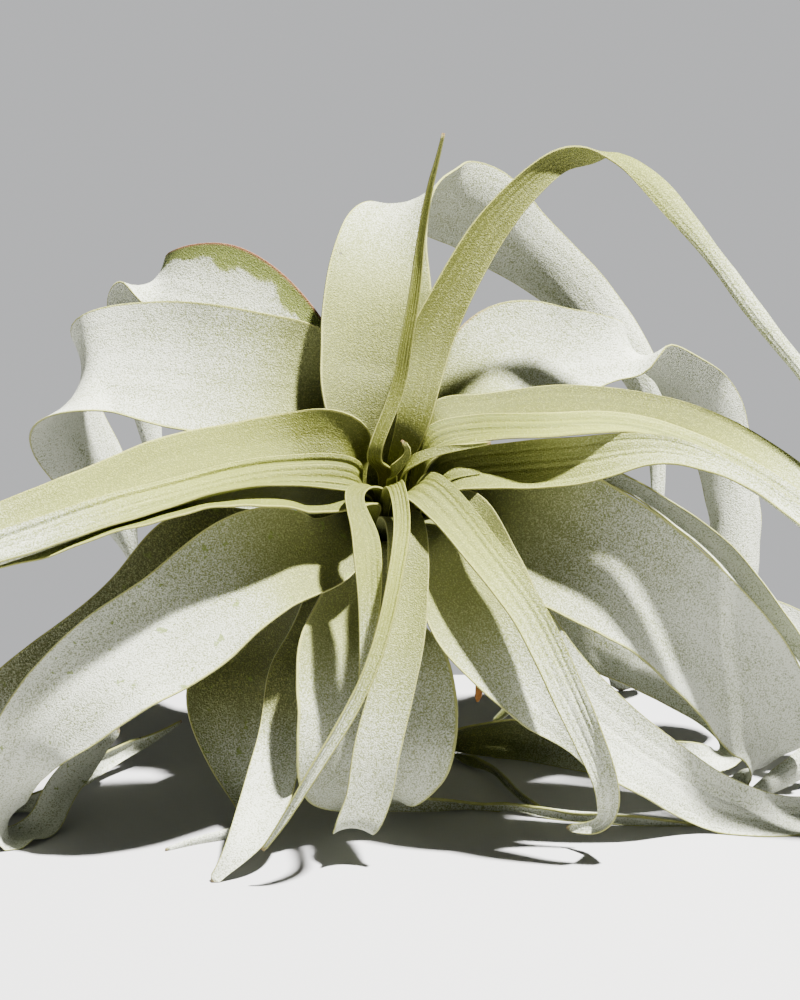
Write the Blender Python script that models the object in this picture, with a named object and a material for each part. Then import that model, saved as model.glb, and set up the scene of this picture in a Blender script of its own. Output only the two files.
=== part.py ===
"""Xerographica air plant: a rosette of broad silver leaves round a short woody base.

Every leaf is a closed blade lofted through rows that give both of its margins. The rows are
set out on a drawing sheet (SHEET units to the millimetre) that leans back by LEAN and is seen
from EYE away, so a row reads (left x, left y, right x, right y, depth, half depth): where the
two margins cross the sheet with the upper face towards the reader and the tip upward, how far
back the middle of the row lies, and how much deeper the right margin is than the middle.
A blade starts on the woody base as a sheath, one turn of the rosette per layer. The blades
are then eased apart so that no leaf runs through another, and set down on the floor.
"""
import math

import bpy
import numpy as np

# ---- driving dimensions (millimetres and degrees) ----
SHEET = 2.4                      # sheet units in a millimetre
LEAN, EYE = 15.0, 1100.0         # lean of the drawing sheet, distance it is seen from
MIDDLE = (385.0, 470.0)          # where the heart of the rosette crosses the sheet
HEART_HEIGHT = 150.0             # heart of the rosette above the floor
TILT = 30.0                      # lean of the rosette's axis towards the front
SHEATH_R, SHEATH_STEP = 4.0, 1.45    # radius of the innermost sheath, step from layer to layer
SHEATH_D, SHEATH_DROP = 18.0, 4.4    # its distance below the heart, drop from layer to layer
SHEATH_ARC = 66.0                # how far a sheath wraps round the base
THICK, THIN = 1.2, 0.65          # blade in the middle of the sheath, blade at its thinnest
ROOM = 0.9                       # clear room the blades are eased apart to
CORE = 95.0                      # inside this radius a lower layer stays under the upper ones
ROUNDS = 45                      # rounds of easing
STATION = 15.5                   # usual step between rows of the finished blade
BASE_TO = 73.0                   # how far the woody base reaches below the heart
BASE_GAP, BASE_SIDES = 0.3, 24   # woody base to the sheath round it, sides of the base
PRESS, FLAT = 0.35, 0.7          # how far a resting leaf is pressed, what lies flat below this

NAME = "xerographica_air_plant"
COLOURS = {"silver_leaf": (0.62, 0.65, 0.56), "green_leaf": (0.55, 0.58, 0.33),
           "woody_base": (0.20, 0.12, 0.07)}
LEAVES = {}


def leaf(name, layer, around, skin, curl, rests, rows):
    """Files one leaf: its layer, the side it starts on, its curl at the middle and the tip."""
    LEAVES[name] = dict(layer=layer, around=around, skin=skin, curl=curl, rests=rests, rows=rows)


leaf("bud_curl", 0, 310, "green_leaf", (90, 120), False, [
    (393, 464, 399, 473, -13, 0), (403, 455, 409, 460, -17, 0), (405, 447, 410, 450, -19, 0),
    (401, 440, 402, 441, -19, 0)])
leaf("bud_right", 1, 345, "green_leaf", (90, 140), False, [
    (412, 457, 408, 469, -13, -1), (440, 446, 441, 455, -14, -1), (466, 444, 467, 449, -14, 0),
    (491, 444, 491, 446, -14, 0)])
leaf("spire", 1.1, 90, "green_leaf", (90, 150), False, [
    (368, 455, 380, 458, -3, 0), (388, 395, 402, 398, -1, 0), (399, 345, 412, 347, 0, 0),
    (408, 300, 419, 302, 0, 0), (417, 240, 425, 241, -1, 0), (427, 190, 432, 191, -5, 0),
    (436, 158, 439, 159, -8, 0), (443, 133, 444, 134, -10, 0)])
leaf("front_left_slim", 1.2, 247, "green_leaf", (60, 90), False, [
    (361, 497, 347, 499, -25, -2), (377, 528, 351, 531, -39, -3), (382, 556, 354, 558, -47, -2),
    (382, 590, 357, 592, -53, -2), (375, 632, 359, 632, -58, 0), (362, 682, 360, 682, -62, 0)])
leaf("front_cream", 2, 283, "green_leaf", (90, 150), False, [
    (403, 480, 388, 486, -22, 0), (410, 512, 393, 512, -38, 0), (405, 562, 391, 558, -58, 0),
    (386, 645, 374, 640, -75, 0), (352, 722, 340, 718, -84, 0), (312, 785, 303, 780, -88, 0),
    (280, 832, 275, 828, -88, 0), (263, 851, 262, 850, -87, 0)])
leaf("long_arch", 2.1, 60, "green_leaf", (50, 200), False, [
    (400, 415, 432, 425, 6, -1), (404, 350, 451, 355, 14, 0), (434, 288, 470, 304, 19, 0),
    (475, 220, 504, 241, 24, 0), (523, 173, 547, 186, 28, 0), (562, 150, 572, 168, 30, 2),
    (590, 149, 594, 164, 31, 4.5), (612, 160, 612, 154, 30, 5.5), (638, 184, 644, 164, 29, 4.5),
    (664, 214, 676, 194, 27, 3), (704, 258, 719, 249, 23, 2), (743, 310, 757, 301, 17, 1),
    (793, 372, 806, 364, 8, 1), (840, 440, 851, 434, -2, 1), (872, 508, 881, 505, -12, 0),
    (888, 562, 890, 561, -18, 0)])
leaf("left_grooved", 2.2, 202, "green_leaf", (70, 120), False, [
    (364, 488, 360, 452, -6, 6), (312, 481, 315, 449, -16, 7), (250, 486, 250, 460, -25, 8),
    (175, 505, 172, 479, -37, 8), (112, 526, 106, 496, -49, 8), (37, 550, 30, 520, -63, 8),
    (-40, 577, -50, 549, -78, 8), (-100, 616, -115, 596, -92, 6), (-138, 672, -140, 671, -100, 0)])
leaf("front_right_long", 3, 308, "green_leaf", (60, 80), False, [
    (438, 474, 404, 500, -20, -4), (474, 508, 436, 524, -34, -4), (510, 556, 474, 568, -46, -4),
    (547, 610, 511, 617, -56, -3), (580, 680, 547, 685, -64, -2), (605, 740, 573, 740, -68, 0),
    (618, 785, 594, 786, -68, 0), (616, 814, 597, 808, -63, 2), (596, 834, 592, 819, -54, 3),
    (567, 829, 566, 827, -46, 0)])
leaf("left_broad", 3.25, 196, "green_leaf", (60, 90), False, [
    (348, 522, 340, 424, -4, 12), (285, 510, 282, 414, -14, 20), (212, 508, 207, 428, -22, 21),
    (150, 521, 138, 448, -34, 20), (75, 545, 62, 478, -48, 17), (0, 568, -10, 506, -59, 14),
    (-75, 592, -92, 538, -67, 13), (-135, 645, -160, 600, -69, 10), (-150, 715, -172, 695, -64, 4),
    (-142, 775, -144, 774, -54, 0)])
leaf("right_channel", 3.45, 12, "green_leaf", (70, 150), False, [
    (424, 428, 428, 458, -2, -8), (462, 416, 466, 440, 3, -9), (550, 404, 553, 423, 5, -10),
    (637, 411, 637, 425, 1, -10), (712, 440, 706, 452, -8, -9), (800, 489, 793, 503, -21, -8),
    (862, 545, 850, 553, -31, -5), (908, 615, 898, 618, -36, -3), (930, 695, 928, 695, -36, 0)])
leaf("back_tall", 3.95, 101, "silver_leaf", (60, 210), False, [
    (319, 385, 424, 385, 10, 0), (320, 345, 433, 335, 17, 0), (324, 300, 432, 288, 26, 0),
    (336, 244, 428, 240, 40, 0), (357, 208, 428, 206, 54, -6), (388, 202, 436, 178, 68, -12),
    (426, 232, 450, 160, 80, -12), (462, 248, 480, 163, 88, -8), (502, 272, 519, 199, 95, -4),
    (546, 303, 568, 244, 99, -2), (590, 343, 615, 297, 100, 0), (626, 385, 646, 346, 98, 0),
    (648, 430, 663, 418, 96, 0), (651, 480, 665, 480, 93, 0), (643, 530, 655, 536, 88, 0),
    (612, 592, 622, 601, 80, 0), (572, 640, 583, 650, 74, 0), (510, 700, 518, 708, 76, 0),
    (492, 723, 493, 724, 78, 0)])
leaf("front_broad", 4, 282, "silver_leaf", (50, 70), False, [
    (424, 520, 386, 526, -27, -2), (428, 580, 386, 584, -42, 0), (424, 635, 380, 640, -52, 0),
    (412, 700, 367, 700, -60, 0), (400, 755, 353, 752, -66, 0), (388, 808, 343, 806, -68, 0),
    (373, 832, 331, 834, -66, 0), (368, 826, 336, 822, -56, 0), (352, 806, 350, 806, -48, 0)])
leaf("right_lower_edge", 4.2, 355, "green_leaf", (50, 130), False, [
    (440, 455, 448, 492, -8, -8), (497, 430, 520, 471, -9, -7), (577, 412, 590, 457, -14, -4),
    (652, 425, 657, 455, -20, -5), (716, 454, 713, 472, -29, -5), (790, 498, 779, 508, -36, -6),
    (850, 556, 838, 562, -43, -4), (895, 628, 886, 630, -48, -2), (915, 702, 914, 702, -48, 0)])
leaf("left_back_broad", 4.4, 140, "silver_leaf", (45, 90), False, [
    (316, 455, 316, 335, 24, 11), (262, 440, 268, 315, 30, 11), (192, 432, 205, 302, 34, 11),
    (140, 422, 150, 300, 36, 11), (106, 412, 120, 307, 37, 10), (76, 414, 99, 317, 37, 10),
    (44, 424, 90, 339, 41, 11), (32, 446, 86, 367, 50, 11), (46, 474, 97, 402, 60, 9),
    (82, 512, 120, 452, 70, 5), (134, 562, 136, 560, 74, 0)])
leaf("front_right_broad", 5, 312, "silver_leaf", (50, 70), False, [
    (478, 492, 424, 545, -24, -6), (505, 525, 424, 590, -34, -8), (530, 575, 432, 638, -43, -8),
    (555, 640, 466, 668, -49, -6), (580, 700, 512, 704, -52, -3), (592, 745, 566, 742, -51, 0),
    (598, 778, 597, 777, -50, 0)])
leaf("right_back_broad", 5.1, 38, "green_leaf", (50, 130), False, [
    (436, 402, 440, 440, 15, -8), (475, 396, 480, 428, 23, -9), (550, 386, 552, 420, 27, -10),
    (625, 390, 626, 422, 24, -10), (700, 407, 698, 436, 15, -9), (800, 462, 790, 486, -2, -8),
    (868, 522, 853, 537, -15, -6), (925, 605, 910, 612, -24, -4), (950, 695, 948, 696, -24, 0)])
leaf("left_low_long", 5.2, 225, "silver_leaf", (45, 60), True, [
    (340, 582, 318, 514, -18, 9), (300, 606, 240, 511, -27, 11), (224, 664, 152, 571, -42, 11),
    (150, 708, 80, 621, -52, 9), (96, 742, 22, 680, -56, 4), (52, 772, -8, 735, -55, -2),
    (32, 798, -12, 782, -50, -8), (22, 822, -2, 812, -43, -11), (20, 836, 8, 838, -38, -11),
    (34, 818, 44, 838, -30, -6), (46, 786, 70, 806, -16, -4), (78, 748, 96, 770, 6, -2),
    (119, 728, 120, 731, 26, 0)])
leaf("left_back_rim", 5.3, 133, "silver_leaf", (40, 100), False, [
    (258, 378, 281, 283, 56, 10), (214, 350, 222, 241, 65, 9), (184, 330, 188, 240, 71, 8),
    (160, 306, 160, 257, 76, 6), (136, 281, 148, 279, 83, 8), (113, 286, 147, 300, 93, 8),
    (114, 320, 154, 334, 100, 6), (124, 372, 158, 384, 104, 4), (140, 430, 162, 438, 104, 2),
    (158, 480, 160, 480, 102, 0)])
leaf("right_silver_broad", 6, 345, "silver_leaf", (45, 70), True, [
    (530, 452, 482, 550, -4, -10), (590, 470, 530, 600, -10, -12), (650, 508, 588, 628, -12, -12),
    (712, 560, 640, 658, -9, -10), (772, 622, 690, 706, -4, -8), (808, 682, 722, 746, 1, -6),
    (810, 722, 741, 776, 6, -3), (784, 750, 747, 786, 11, 0), (756, 777, 738, 790, 17, 1),
    (724, 788, 723, 790, 20, 0)])
leaf("front_drape", 6.1, 260, "silver_leaf", (60, 200), True, [
    (412, 600, 322, 600, -18, -4), (440, 640, 296, 640, -32, -5), (458, 700, 295, 700, -45, -6),
    (456, 748, 296, 750, -52, -6), (444, 785, 297, 790, -49, -4), (420, 803, 325, 806, -36, 0),
    (410, 802, 366, 808, -20, 0), (430, 800, 412, 806, -10, 0), (470, 800, 469, 806, -4, 0),
    (525, 805, 525, 812, -11, 0), (590, 812, 590, 821, -19, 0), (650, 815, 650, 824, -22, 0),
    (697, 822, 697, 823, -22, 0)])
leaf("right_back_hood", 7, 45, "silver_leaf", (40, 180), False, [
    (500, 296, 520, 396, 46, -10), (558, 305, 564, 396, 54, -9), (600, 312, 599, 386, 60, -8),
    (634, 330, 624, 370, 66, -8), (650, 364, 646, 342, 71, -12), (672, 392, 682, 347, 75, -11),
    (691, 428, 716, 369, 77, -6), (699, 458, 742, 424, 79, -2), (706, 500, 757, 490, 80, 0),
    (711, 540, 760, 545, 79, 0), (711, 580, 756, 590, 76, 0), (704, 625, 742, 640, 72, 0),
    (689, 700, 691, 701, 66, 0)])
leaf("right_sweep", 7.1, 315, "silver_leaf", (50, 80), True, [
    (530, 590, 490, 650, -24, -8), (560, 632, 528, 702, -32, -9), (620, 695, 588, 764, -36, -9),
    (675, 740, 645, 798, -33, -8), (725, 775, 702, 827, -25, -6), (780, 797, 765, 836, -26, -8),
    (835, 796, 830, 826, -18, -8), (880, 772, 890, 798, -4, -8), (893, 738, 918, 745, 12, -6),
    (872, 716, 884, 716, 24, -2), (812, 737, 822, 764, 24, 0), (765, 772, 775, 792, 14, 0),
    (738, 800, 740, 802, 4, 0)])
leaf("left_shade", 7.2, 200, "silver_leaf", (50, 110), True, [
    (300, 580, 262, 514, 0, 8), (230, 590, 172, 514, -8, 10), (170, 634, 125, 564, -14, 10),
    (112, 678, 75, 611, -18, 9), (50, 724, 15, 656, -22, 6), (-6, 770, -38, 708, -24, 0),
    (-36, 806, -66, 764, -24, -5), (-32, 832, -54, 822, -22, -7), (0, 818, -12, 824, -14, -5),
    (50, 795, 46, 808, 3, -3), (110, 752, 106, 772, 34, -2), (150, 736, 147, 746, 52, -1),
    (182, 721, 182, 722, 66, 0)])
leaf("right_tube", 8, 16, "silver_leaf", (150, 220), False, [
    (528, 448, 524, 468, 24, -2), (580, 456, 574, 470, 31, 0), (625, 476, 617, 487, 36, 0),
    (687, 511, 674, 525, 41, 0), (745, 560, 727, 575, 42, 0), (780, 605, 758, 617, 38, 0),
    (812, 655, 794, 664, 28, 0), (830, 706, 828, 707, 18, 0)])
leaf("front_left_point", 8.1, 228, "silver_leaf", (50, 50), True, [
    (320, 640, 290, 630, -16, 0), (303, 670, 270, 672, -24, 0), (304, 718, 261, 722, -33, 0),
    (300, 768, 250, 763, -46, 0), (287, 808, 236, 806, -60, 0), (258, 846, 224, 842, -74, 0),
    (212, 880, 211, 880, -82, 0)])
leaf("back_left_low", 8.2, 153, "silver_leaf", (45, 60), True, [
    (262, 545, 308, 515, 62, 12), (200, 545, 250, 500, 92, 14), (128, 590, 190, 550, 120, 14),
    (92, 645, 154, 612, 138, 11), (92, 678, 138, 656, 144, 6), (110, 692, 111, 691, 147, 0)])
leaf("back_centre", 8.7, 89, "silver_leaf", (45, 60), False, [
    (342, 503, 432, 503, 72, 0), (324, 500, 436, 500, 104, 0), (322, 540, 430, 540, 134, 0),
    (328, 605, 422, 605, 152, 0), (344, 652, 406, 652, 162, 0), (375, 678, 376, 678, 166, 0)])
leaf("right_low_back", 9, 354, "silver_leaf", (50, 90), True, [
    (600, 540, 575, 585, 22, -8), (650, 552, 622, 608, 34, -9), (700, 572, 678, 632, 43, -9),
    (745, 590, 724, 655, 47, -9), (800, 610, 784, 680, 45, -9), (848, 650, 826, 712, 44, -7),
    (876, 708, 852, 745, 42, -3), (882, 768, 880, 768, 44, 0)])
leaf("left_rear_drape", 9.1, 200, "silver_leaf", (50, 120), True, [
    (296, 652, 236, 628, 14, 9), (290, 672, 190, 676, 10, 4), (280, 708, 186, 706, 4, 0),
    (275, 752, 204, 752, -3, 0), (270, 784, 226, 788, -10, 0), (262, 808, 242, 814, -20, 0),
    (248, 822, 242, 830, -30, 0), (206, 833, 204, 842, -40, 0), (165, 849, 165, 850, -49, 0)])
leaf("back_right_low", 10, 46, "silver_leaf", (45, 60), True, [
    (480, 500, 540, 530, 78, -12), (530, 500, 600, 545, 108, -12), (580, 560, 650, 600, 134, -8),
    (592, 620, 654, 652, 146, -4), (604, 660, 642, 678, 152, 0), (620, 690, 621, 690, 152, 0)])
leaf("orange_tip", 10.1, 333, "silver_leaf", (50, 60), False, [
    (478, 640, 466, 642, 26, 0), (488, 672, 474, 676, 32, 0), (478, 702, 477, 702, 33, 0)])
leaf("back_low_drape", 10.2, 128, "silver_leaf", (45, 60), False, [
    (262, 590, 330, 570, 84, 8), (240, 630, 318, 610, 110, 9), (232, 662, 306, 650, 130, 6),
    (246, 692, 296, 684, 138, 2), (274, 700, 275, 700, 140, 0)])
leaf("floor_roll", 11, 6, "silver_leaf", (60, 220), True, [
    (570, 600, 548, 640, 40, -4), (640, 640, 614, 680, 54, -4), (710, 680, 682, 712, 60, -2),
    (748, 712, 716, 742, 56, 2), (738, 756, 722, 745, 46, 6), (700, 772, 700, 742, 37, 6),
    (650, 772, 650, 740, 38, 4), (600, 772, 600, 736, 42, 3), (550, 764, 550, 726, 52, 2),
    (510, 758, 510, 719, 60, 2), (475, 754, 472, 724, 61, 0), (452, 748, 448, 734, 60, -3),
    (466, 753, 466, 760, 50, -3), (486, 762, 483, 767, 40, 0), (512, 783, 509, 788, 14, 0),
    (538, 803, 534, 808, -6, 0), (560, 816, 559, 817, -14, 0)])

# ---- the drawing sheet and the rosette's own axes ----
_l, _t = math.radians(LEAN), math.radians(TILT)
HEART = np.array([0.0, 0.0, HEART_HEIGHT])
AXIS = np.array([0.0, -math.sin(_t), math.cos(_t)])
SIDE, BACK = np.array([1.0, 0.0, 0.0]), np.array([0.0, math.cos(_t), math.sin(_t)])
SHEET_UP = np.array([0.0, math.sin(_l), math.cos(_l)])
SHEET_IN = np.array([0.0, math.cos(_l), -math.sin(_l)])
AIM = HEART + SIDE * (400 - MIDDLE[0]) / SHEET - SHEET_UP * (500 - MIDDLE[1]) / SHEET
EYE_AT = AIM - SHEET_IN * EYE


def off_sheet(x, y, depth):
    """The point in space seen at (x, y) on the sheet whose depth is the given one."""
    ray = SHEET_IN + SIDE * (x - 400) / SHEET / EYE + SHEET_UP * (500 - y) / SHEET / EYE
    return EYE_AT + ray * (depth - EYE_AT[1]) / ray[1]


def unit(v):
    """Vectors of length one."""
    return v / np.maximum(np.linalg.norm(v, axis=-1, keepdims=True), 1e-9)


def ease(x):
    """Smooth step from 0 to 1."""
    x = np.clip(x, 0.0, 1.0)
    return x * x * (3 - 2 * x)


def smooth(a):
    """Five-point smoothing that keeps both ends."""
    pad = np.concatenate([[a[0]] * 2, a, [a[-1]] * 2])
    return np.convolve(pad, np.array([1, 2, 3, 2, 1]) / 9.0, "valid")


def cubic(points, knots, at):
    """Natural cubic through the points, read at the given parameters."""
    n, h = len(points), np.diff(knots)
    m, r = np.zeros((n, n)), np.zeros(points.shape)
    m[0, 0] = m[-1, -1] = 1
    for i in range(1, n - 1):
        m[i, i - 1], m[i, i], m[i, i + 1] = h[i - 1], 2 * (h[i - 1] + h[i]), h[i]
        r[i] = 6 * ((points[i + 1] - points[i]) / h[i] - (points[i] - points[i - 1]) / h[i - 1])
    k = np.linalg.solve(m, r)
    i = np.clip(np.searchsorted(knots, at, side="right") - 1, 0, n - 2)
    g, a, b = h[i][:, None], (knots[i + 1] - at)[:, None], (at - knots[i])[:, None]
    return (k[i] * a**3 / (6 * g) + k[i + 1] * b**3 / (6 * g)
            + (points[i] / g - k[i] * g / 6) * a + (points[i + 1] / g - k[i + 1] * g / 6) * b)


def controls(lf):
    """Middle points and half chords of a leaf: two rows of sheath, then its own rows."""
    a, k = math.radians(lf["around"]), lf["layer"] / 10
    out = SIDE * math.cos(a) + BACK * math.sin(a)
    r, d = SHEATH_R + SHEATH_STEP * lf["layer"], SHEATH_D + SHEATH_DROP * lf["layer"]
    spread, run = math.radians(3 + 14 * k), 16 + 12 * k
    base = HEART - AXIS * d + out * r
    neck = base + run * (AXIS * math.cos(spread) + out * math.sin(spread))
    left = np.array([off_sheet(q[0], q[1], q[4] - q[5]) for q in lf["rows"]])
    right = np.array([off_sheet(q[2], q[3], q[4] + q[5]) for q in lf["rows"]])
    half, across = (right - left) / 2, np.cross(out, AXIS)
    h0 = r * math.sin(math.radians(SHEATH_ARC / 2))
    h1 = min(max(h0 * 1.25, 0.5 * np.linalg.norm(half[0])), r + run * math.sin(spread))
    middle = np.vstack([base, neck, (left + right) / 2])
    return middle, np.vstack([across * h0, across * h1, half])


def rows_along(points, n, bent):
    """Parameters of n rows along the middle line, closer together where it bends."""
    step = np.linalg.norm(np.diff(points, axis=0), axis=1) ** 0.8
    knots = np.concatenate([[0], np.cumsum(step)])
    x = np.linspace(0, knots[-1], 500)
    q = cubic(points, knots, x)
    s = np.concatenate([[0], np.cumsum(np.linalg.norm(np.diff(q, axis=0), axis=1))])
    t = unit(np.gradient(q, axis=0))
    turn = np.linalg.norm(np.diff(t, axis=0), axis=1)
    turn = np.convolve(np.concatenate([[0] * 6, turn, [0] * 6]), np.ones(13) / 13, "valid")
    measure = np.concatenate([[0], np.cumsum(np.diff(s) + bent * turn)])
    at = np.interp(np.linspace(0, measure[-1], n), measure, x)
    return knots, at, np.interp(at, x, s), np.interp(knots, x, s)


def curl_angle(lf, a, rho, f):
    """Angle the cross-section turns through: wrapped round the axis, then the leaf's own."""
    mid, tip = (math.radians(c) for c in lf["curl"])
    wrapped = 2 * np.arcsin(np.clip(a / np.maximum(rho, 1), 0, 0.94))
    own, b = np.interp(f, [0, 0.5, 0.95], [mid, mid, tip]), ease((rho - 18) / 40)
    return smooth(wrapped * (1 - b) + own * b)


def blade(lf, shape, n, m, bent=0.0):
    """Middle surface of a leaf on n rows of m + 1 points, with its directions and thickness."""
    points, halves = shape
    knots, at, s, marks = rows_along(points, n, bent)
    q, size = cubic(points, knots, at), np.linalg.norm(halves, axis=1)
    a = smooth(np.interp(at, knots, size))
    a[-1] = size[-1]
    a = np.maximum(a, 0.45)
    t = unit(np.gradient(q, s, axis=0))
    w = unit(cubic(unit(halves), knots, at))
    w = unit(w - t * (w * t).sum(1)[:, None])
    up, rel, f = np.cross(w, t), q - HEART, s / s[-1]
    rho = np.linalg.norm(rel - (rel @ AXIS)[:, None] * AXIS, axis=1)
    th = curl_angle(lf, a, rho, f)
    r = np.where(th < math.pi, a / np.sin(np.minimum(th, math.pi) / 2), a)
    sink = np.where(th < math.pi, r * (1 - np.cos(th / 2)), r) * np.clip((rho - 10) / 25, 0, 1)
    u = np.linspace(-1, 1, m + 1)
    phi = u[None, :] * th[:, None] / 2
    lift = r[:, None] * (1 - np.cos(phi)) - sink[:, None]
    surf = q[:, None] + w[:, None] * (r[:, None] * np.sin(phi))[..., None] + up[:, None] * lift[..., None]
    wide = w[:, None] * np.cos(phi)[..., None] + up[:, None] * np.sin(phi)[..., None]
    along = unit(np.gradient(surf, axis=0))
    normal = unit(np.cross(wide, along))
    thick = np.maximum(THICK * (1 - 0.3 * f)[:, None] * (1 - 0.25 * np.abs(u)[None, :] ** 3), THIN)
    pace = np.maximum(np.linalg.norm(np.gradient(surf, axis=0), axis=-1), 0.2)
    bend = np.einsum("ijk,ijk->ij", np.gradient(along, axis=0) / pace[..., None], normal)
    flat = surf.reshape(-1, 3)
    return dict(S=surf, N=normal, W=wide, T=along, thick=thick, s=s, marks=marks,
                lo=flat.min(0), hi=flat.max(0), kt=np.clip(bend, -0.1, 0.1),
                kw=np.repeat((1 / np.maximum(r, 1.5))[:, None], m + 1, 1))


# ---- easing the blades apart ----
def neighbours(inner, outer, reach=9.0):
    """For each point of one blade near another: row, height above it, how far off its edge."""
    a, b = inner["S"].reshape(-1, 3), outer["S"].reshape(-1, 3)
    lo = np.maximum(inner["lo"], outer["lo"]) - reach
    hi = np.minimum(inner["hi"], outer["hi"]) + reach
    ia = np.flatnonzero(((a >= lo) & (a <= hi)).all(1))
    ib = np.flatnonzero(((b >= lo) & (b <= hi)).all(1))
    if not len(ia) or not len(ib):
        return None
    p, q = a[ia], b[ib]
    k = ((p**2).sum(1)[None] - 2 * q @ p.T).argmin(1)
    ok = ((q - p[k])**2).sum(1) < reach**2
    ia, ib = ia[k[ok]], ib[ok]
    n, cols = inner["S"].shape[:2]
    v, flat = b[ib] - a[ia], lambda key: inner[key].reshape(a.shape[0], -1)[ia]
    vn, vw, vt = ((v * flat(key)).sum(1) for key in ("N", "W", "T"))
    h = vn - 0.5 * flat("kw")[:, 0] * vw**2 - 0.5 * flat("kt")[:, 0] * vt**2
    col, row = ia % cols, ia // cols
    off = np.where(col == 0, np.maximum(-vw, 0), np.where(col == cols - 1, np.maximum(vw, 0), 0))
    off = np.maximum(off, np.where(row == n - 1, np.maximum(vt, 0), 0))
    off = np.maximum(off, np.where(row == 0, np.maximum(-vt, 0), 0))
    return b[ib], ib // cols, h, off, flat("N")


def push(mine, others, layer):
    """Largest push every row of a leaf gets from the leaves round it, and from the floor."""
    rows = len(mine["s"])
    move, size = np.zeros((rows, 3)), np.zeros(rows)
    for other, its_layer in others:
        near = neighbours(other, mine)
        if near is None:
            continue
        at, row, h, off, normal = near
        under = its_layer < layer
        sign = -1.0 if under else 1.0
        nested = np.linalg.norm(at - HEART, axis=1) < CORE
        gap = np.where(nested, sign * h, np.abs(h))
        lack = np.where((off > 1.2) | (nested & (gap < -9)), 0, THICK + ROOM - gap)
        lack = np.clip(lack, 0, 4) * np.where(nested, 0.85 if under else 0.15, 0.5)
        way = np.where(nested, sign, np.sign(h))[:, None] * normal
        order = np.argsort(lack, kind="stable")
        order = order[lack[order] > 0.02]
        best, most = np.zeros((rows, 3)), np.zeros(rows)
        best[row[order]], most[row[order]] = (way * lack[:, None])[order], lack[order]
        more = most > size
        move[more], size[more] = best[more], most[more]
    low = -(mine["S"][..., 2] - mine["thick"] / 2 * np.abs(mine["N"][..., 2])).min(1)
    low = np.clip(low, 0, 5)
    move[low > size] = np.array([0, 0, 1.0]) * low[low > size][:, None]
    return move, np.maximum(size, low)


def shift_controls(points, marks, s, move, size):
    """Hands the pushes of the rows on to the control points they hang from."""
    for c in range(1, len(marks)):
        lo, hi = marks[c - 1], marks[c + 1] if c + 1 < len(marks) else s[-1] + 1
        w = np.where(s < marks[c], (s - lo) / max(marks[c] - lo, 1e-6),
                     (hi - s) / max(hi - marks[c], 1e-6))
        w = np.clip(w, 0, 1)
        e = w[:, None] * move
        k = np.linalg.norm(e, axis=1)
        if k.max() > 0:
            points[c] += 0.35 * (e[k.argmax()] + e.sum(0) / max(w[size > 0].sum(), 1e-6))


def ease_apart():
    """Control points of all the leaves once the blades have been eased apart."""
    shapes = {name: controls(lf) for name, lf in LEAVES.items()}
    for _ in range(ROUNDS):
        sheets = {name: blade(LEAVES[name], shapes[name], 44, 6) for name in LEAVES}
        for name, lf in LEAVES.items():
            others = [(sheets[o], LEAVES[o]["layer"]) for o in LEAVES if o != name]
            move, size = push(sheets[name], others, lf["layer"])
            mine = sheets[name]
            shift_controls(shapes[name][0], mine["marks"], mine["s"], move, size)
    return shapes


# ---- solids ----
def loft(top, low):
    """Closed solid between two skins of the same grid, its triangles alike on both."""
    n, cols = top.shape[:2]
    k, m = 2 * cols, cols - 1
    verts = np.concatenate([top, low[:, ::-1]], 1).reshape(-1, 3)
    faces = []
    for i in range(n - 1):
        for j in range(k):
            a, b = i * k + j, i * k + (j + 1) % k
            c, d = b + k, a + k
            faces += [(a, b, c), (a, c, d)] if (j < m or j == k - 1) else [(a, b, d), (b, c, d)]
    for j in range(m):
        a, b, c, d = j, j + 1, k - 2 - j, k - 1 - j
        e = (n - 1) * k
        faces += [(a, d, c), (a, c, b), (e + a, e + c, e + d), (e + a, e + b, e + c)]
    faces = np.array(faces)
    v = verts[faces]
    if np.einsum("ij,ij->i", v[:, 0], np.cross(v[:, 1], v[:, 2])).sum() < 0:
        faces = faces[:, ::-1]
    return verts, faces


def set_down(lf, verts, facing):
    """Brings a resting leaf down to the floor and presses a small flat on its underside."""
    z = verts[:, 2].copy()
    if lf["rests"]:
        z -= (z.min() + PRESS) * (1 - ease((z - z.min()) / 25.0))
        z[(z < FLAT) & (facing < 0.3)] = 0.0
        z[facing >= 0.3] = np.maximum(z[facing >= 0.3], FLAT / 2)
    z = np.maximum(z, 0.0 if lf["rests"] else 0.3)
    return np.column_stack([verts[:, :2], z])


def leaf_solid(lf, shape):
    """The blade of one leaf: rows closer together where it bends, thick in the middle."""
    points, halves = shape
    length = np.linalg.norm(np.diff(points, axis=0), axis=1).sum()
    wide = 2 * np.linalg.norm(halves, axis=1).max()
    n, m = int(round(length / STATION)) + 4, 6 if wide > 24 else 4
    g = blade(lf, shape, n, m, bent=28.0)
    half = g["N"] * g["thick"][..., None] / 2
    verts, faces = loft(g["S"] + half, g["S"] - half)
    facing = np.concatenate([g["N"], -g["N"][:, ::-1]], 1).reshape(-1, 3)[:, 2]
    return set_down(lf, verts, facing), faces


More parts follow.
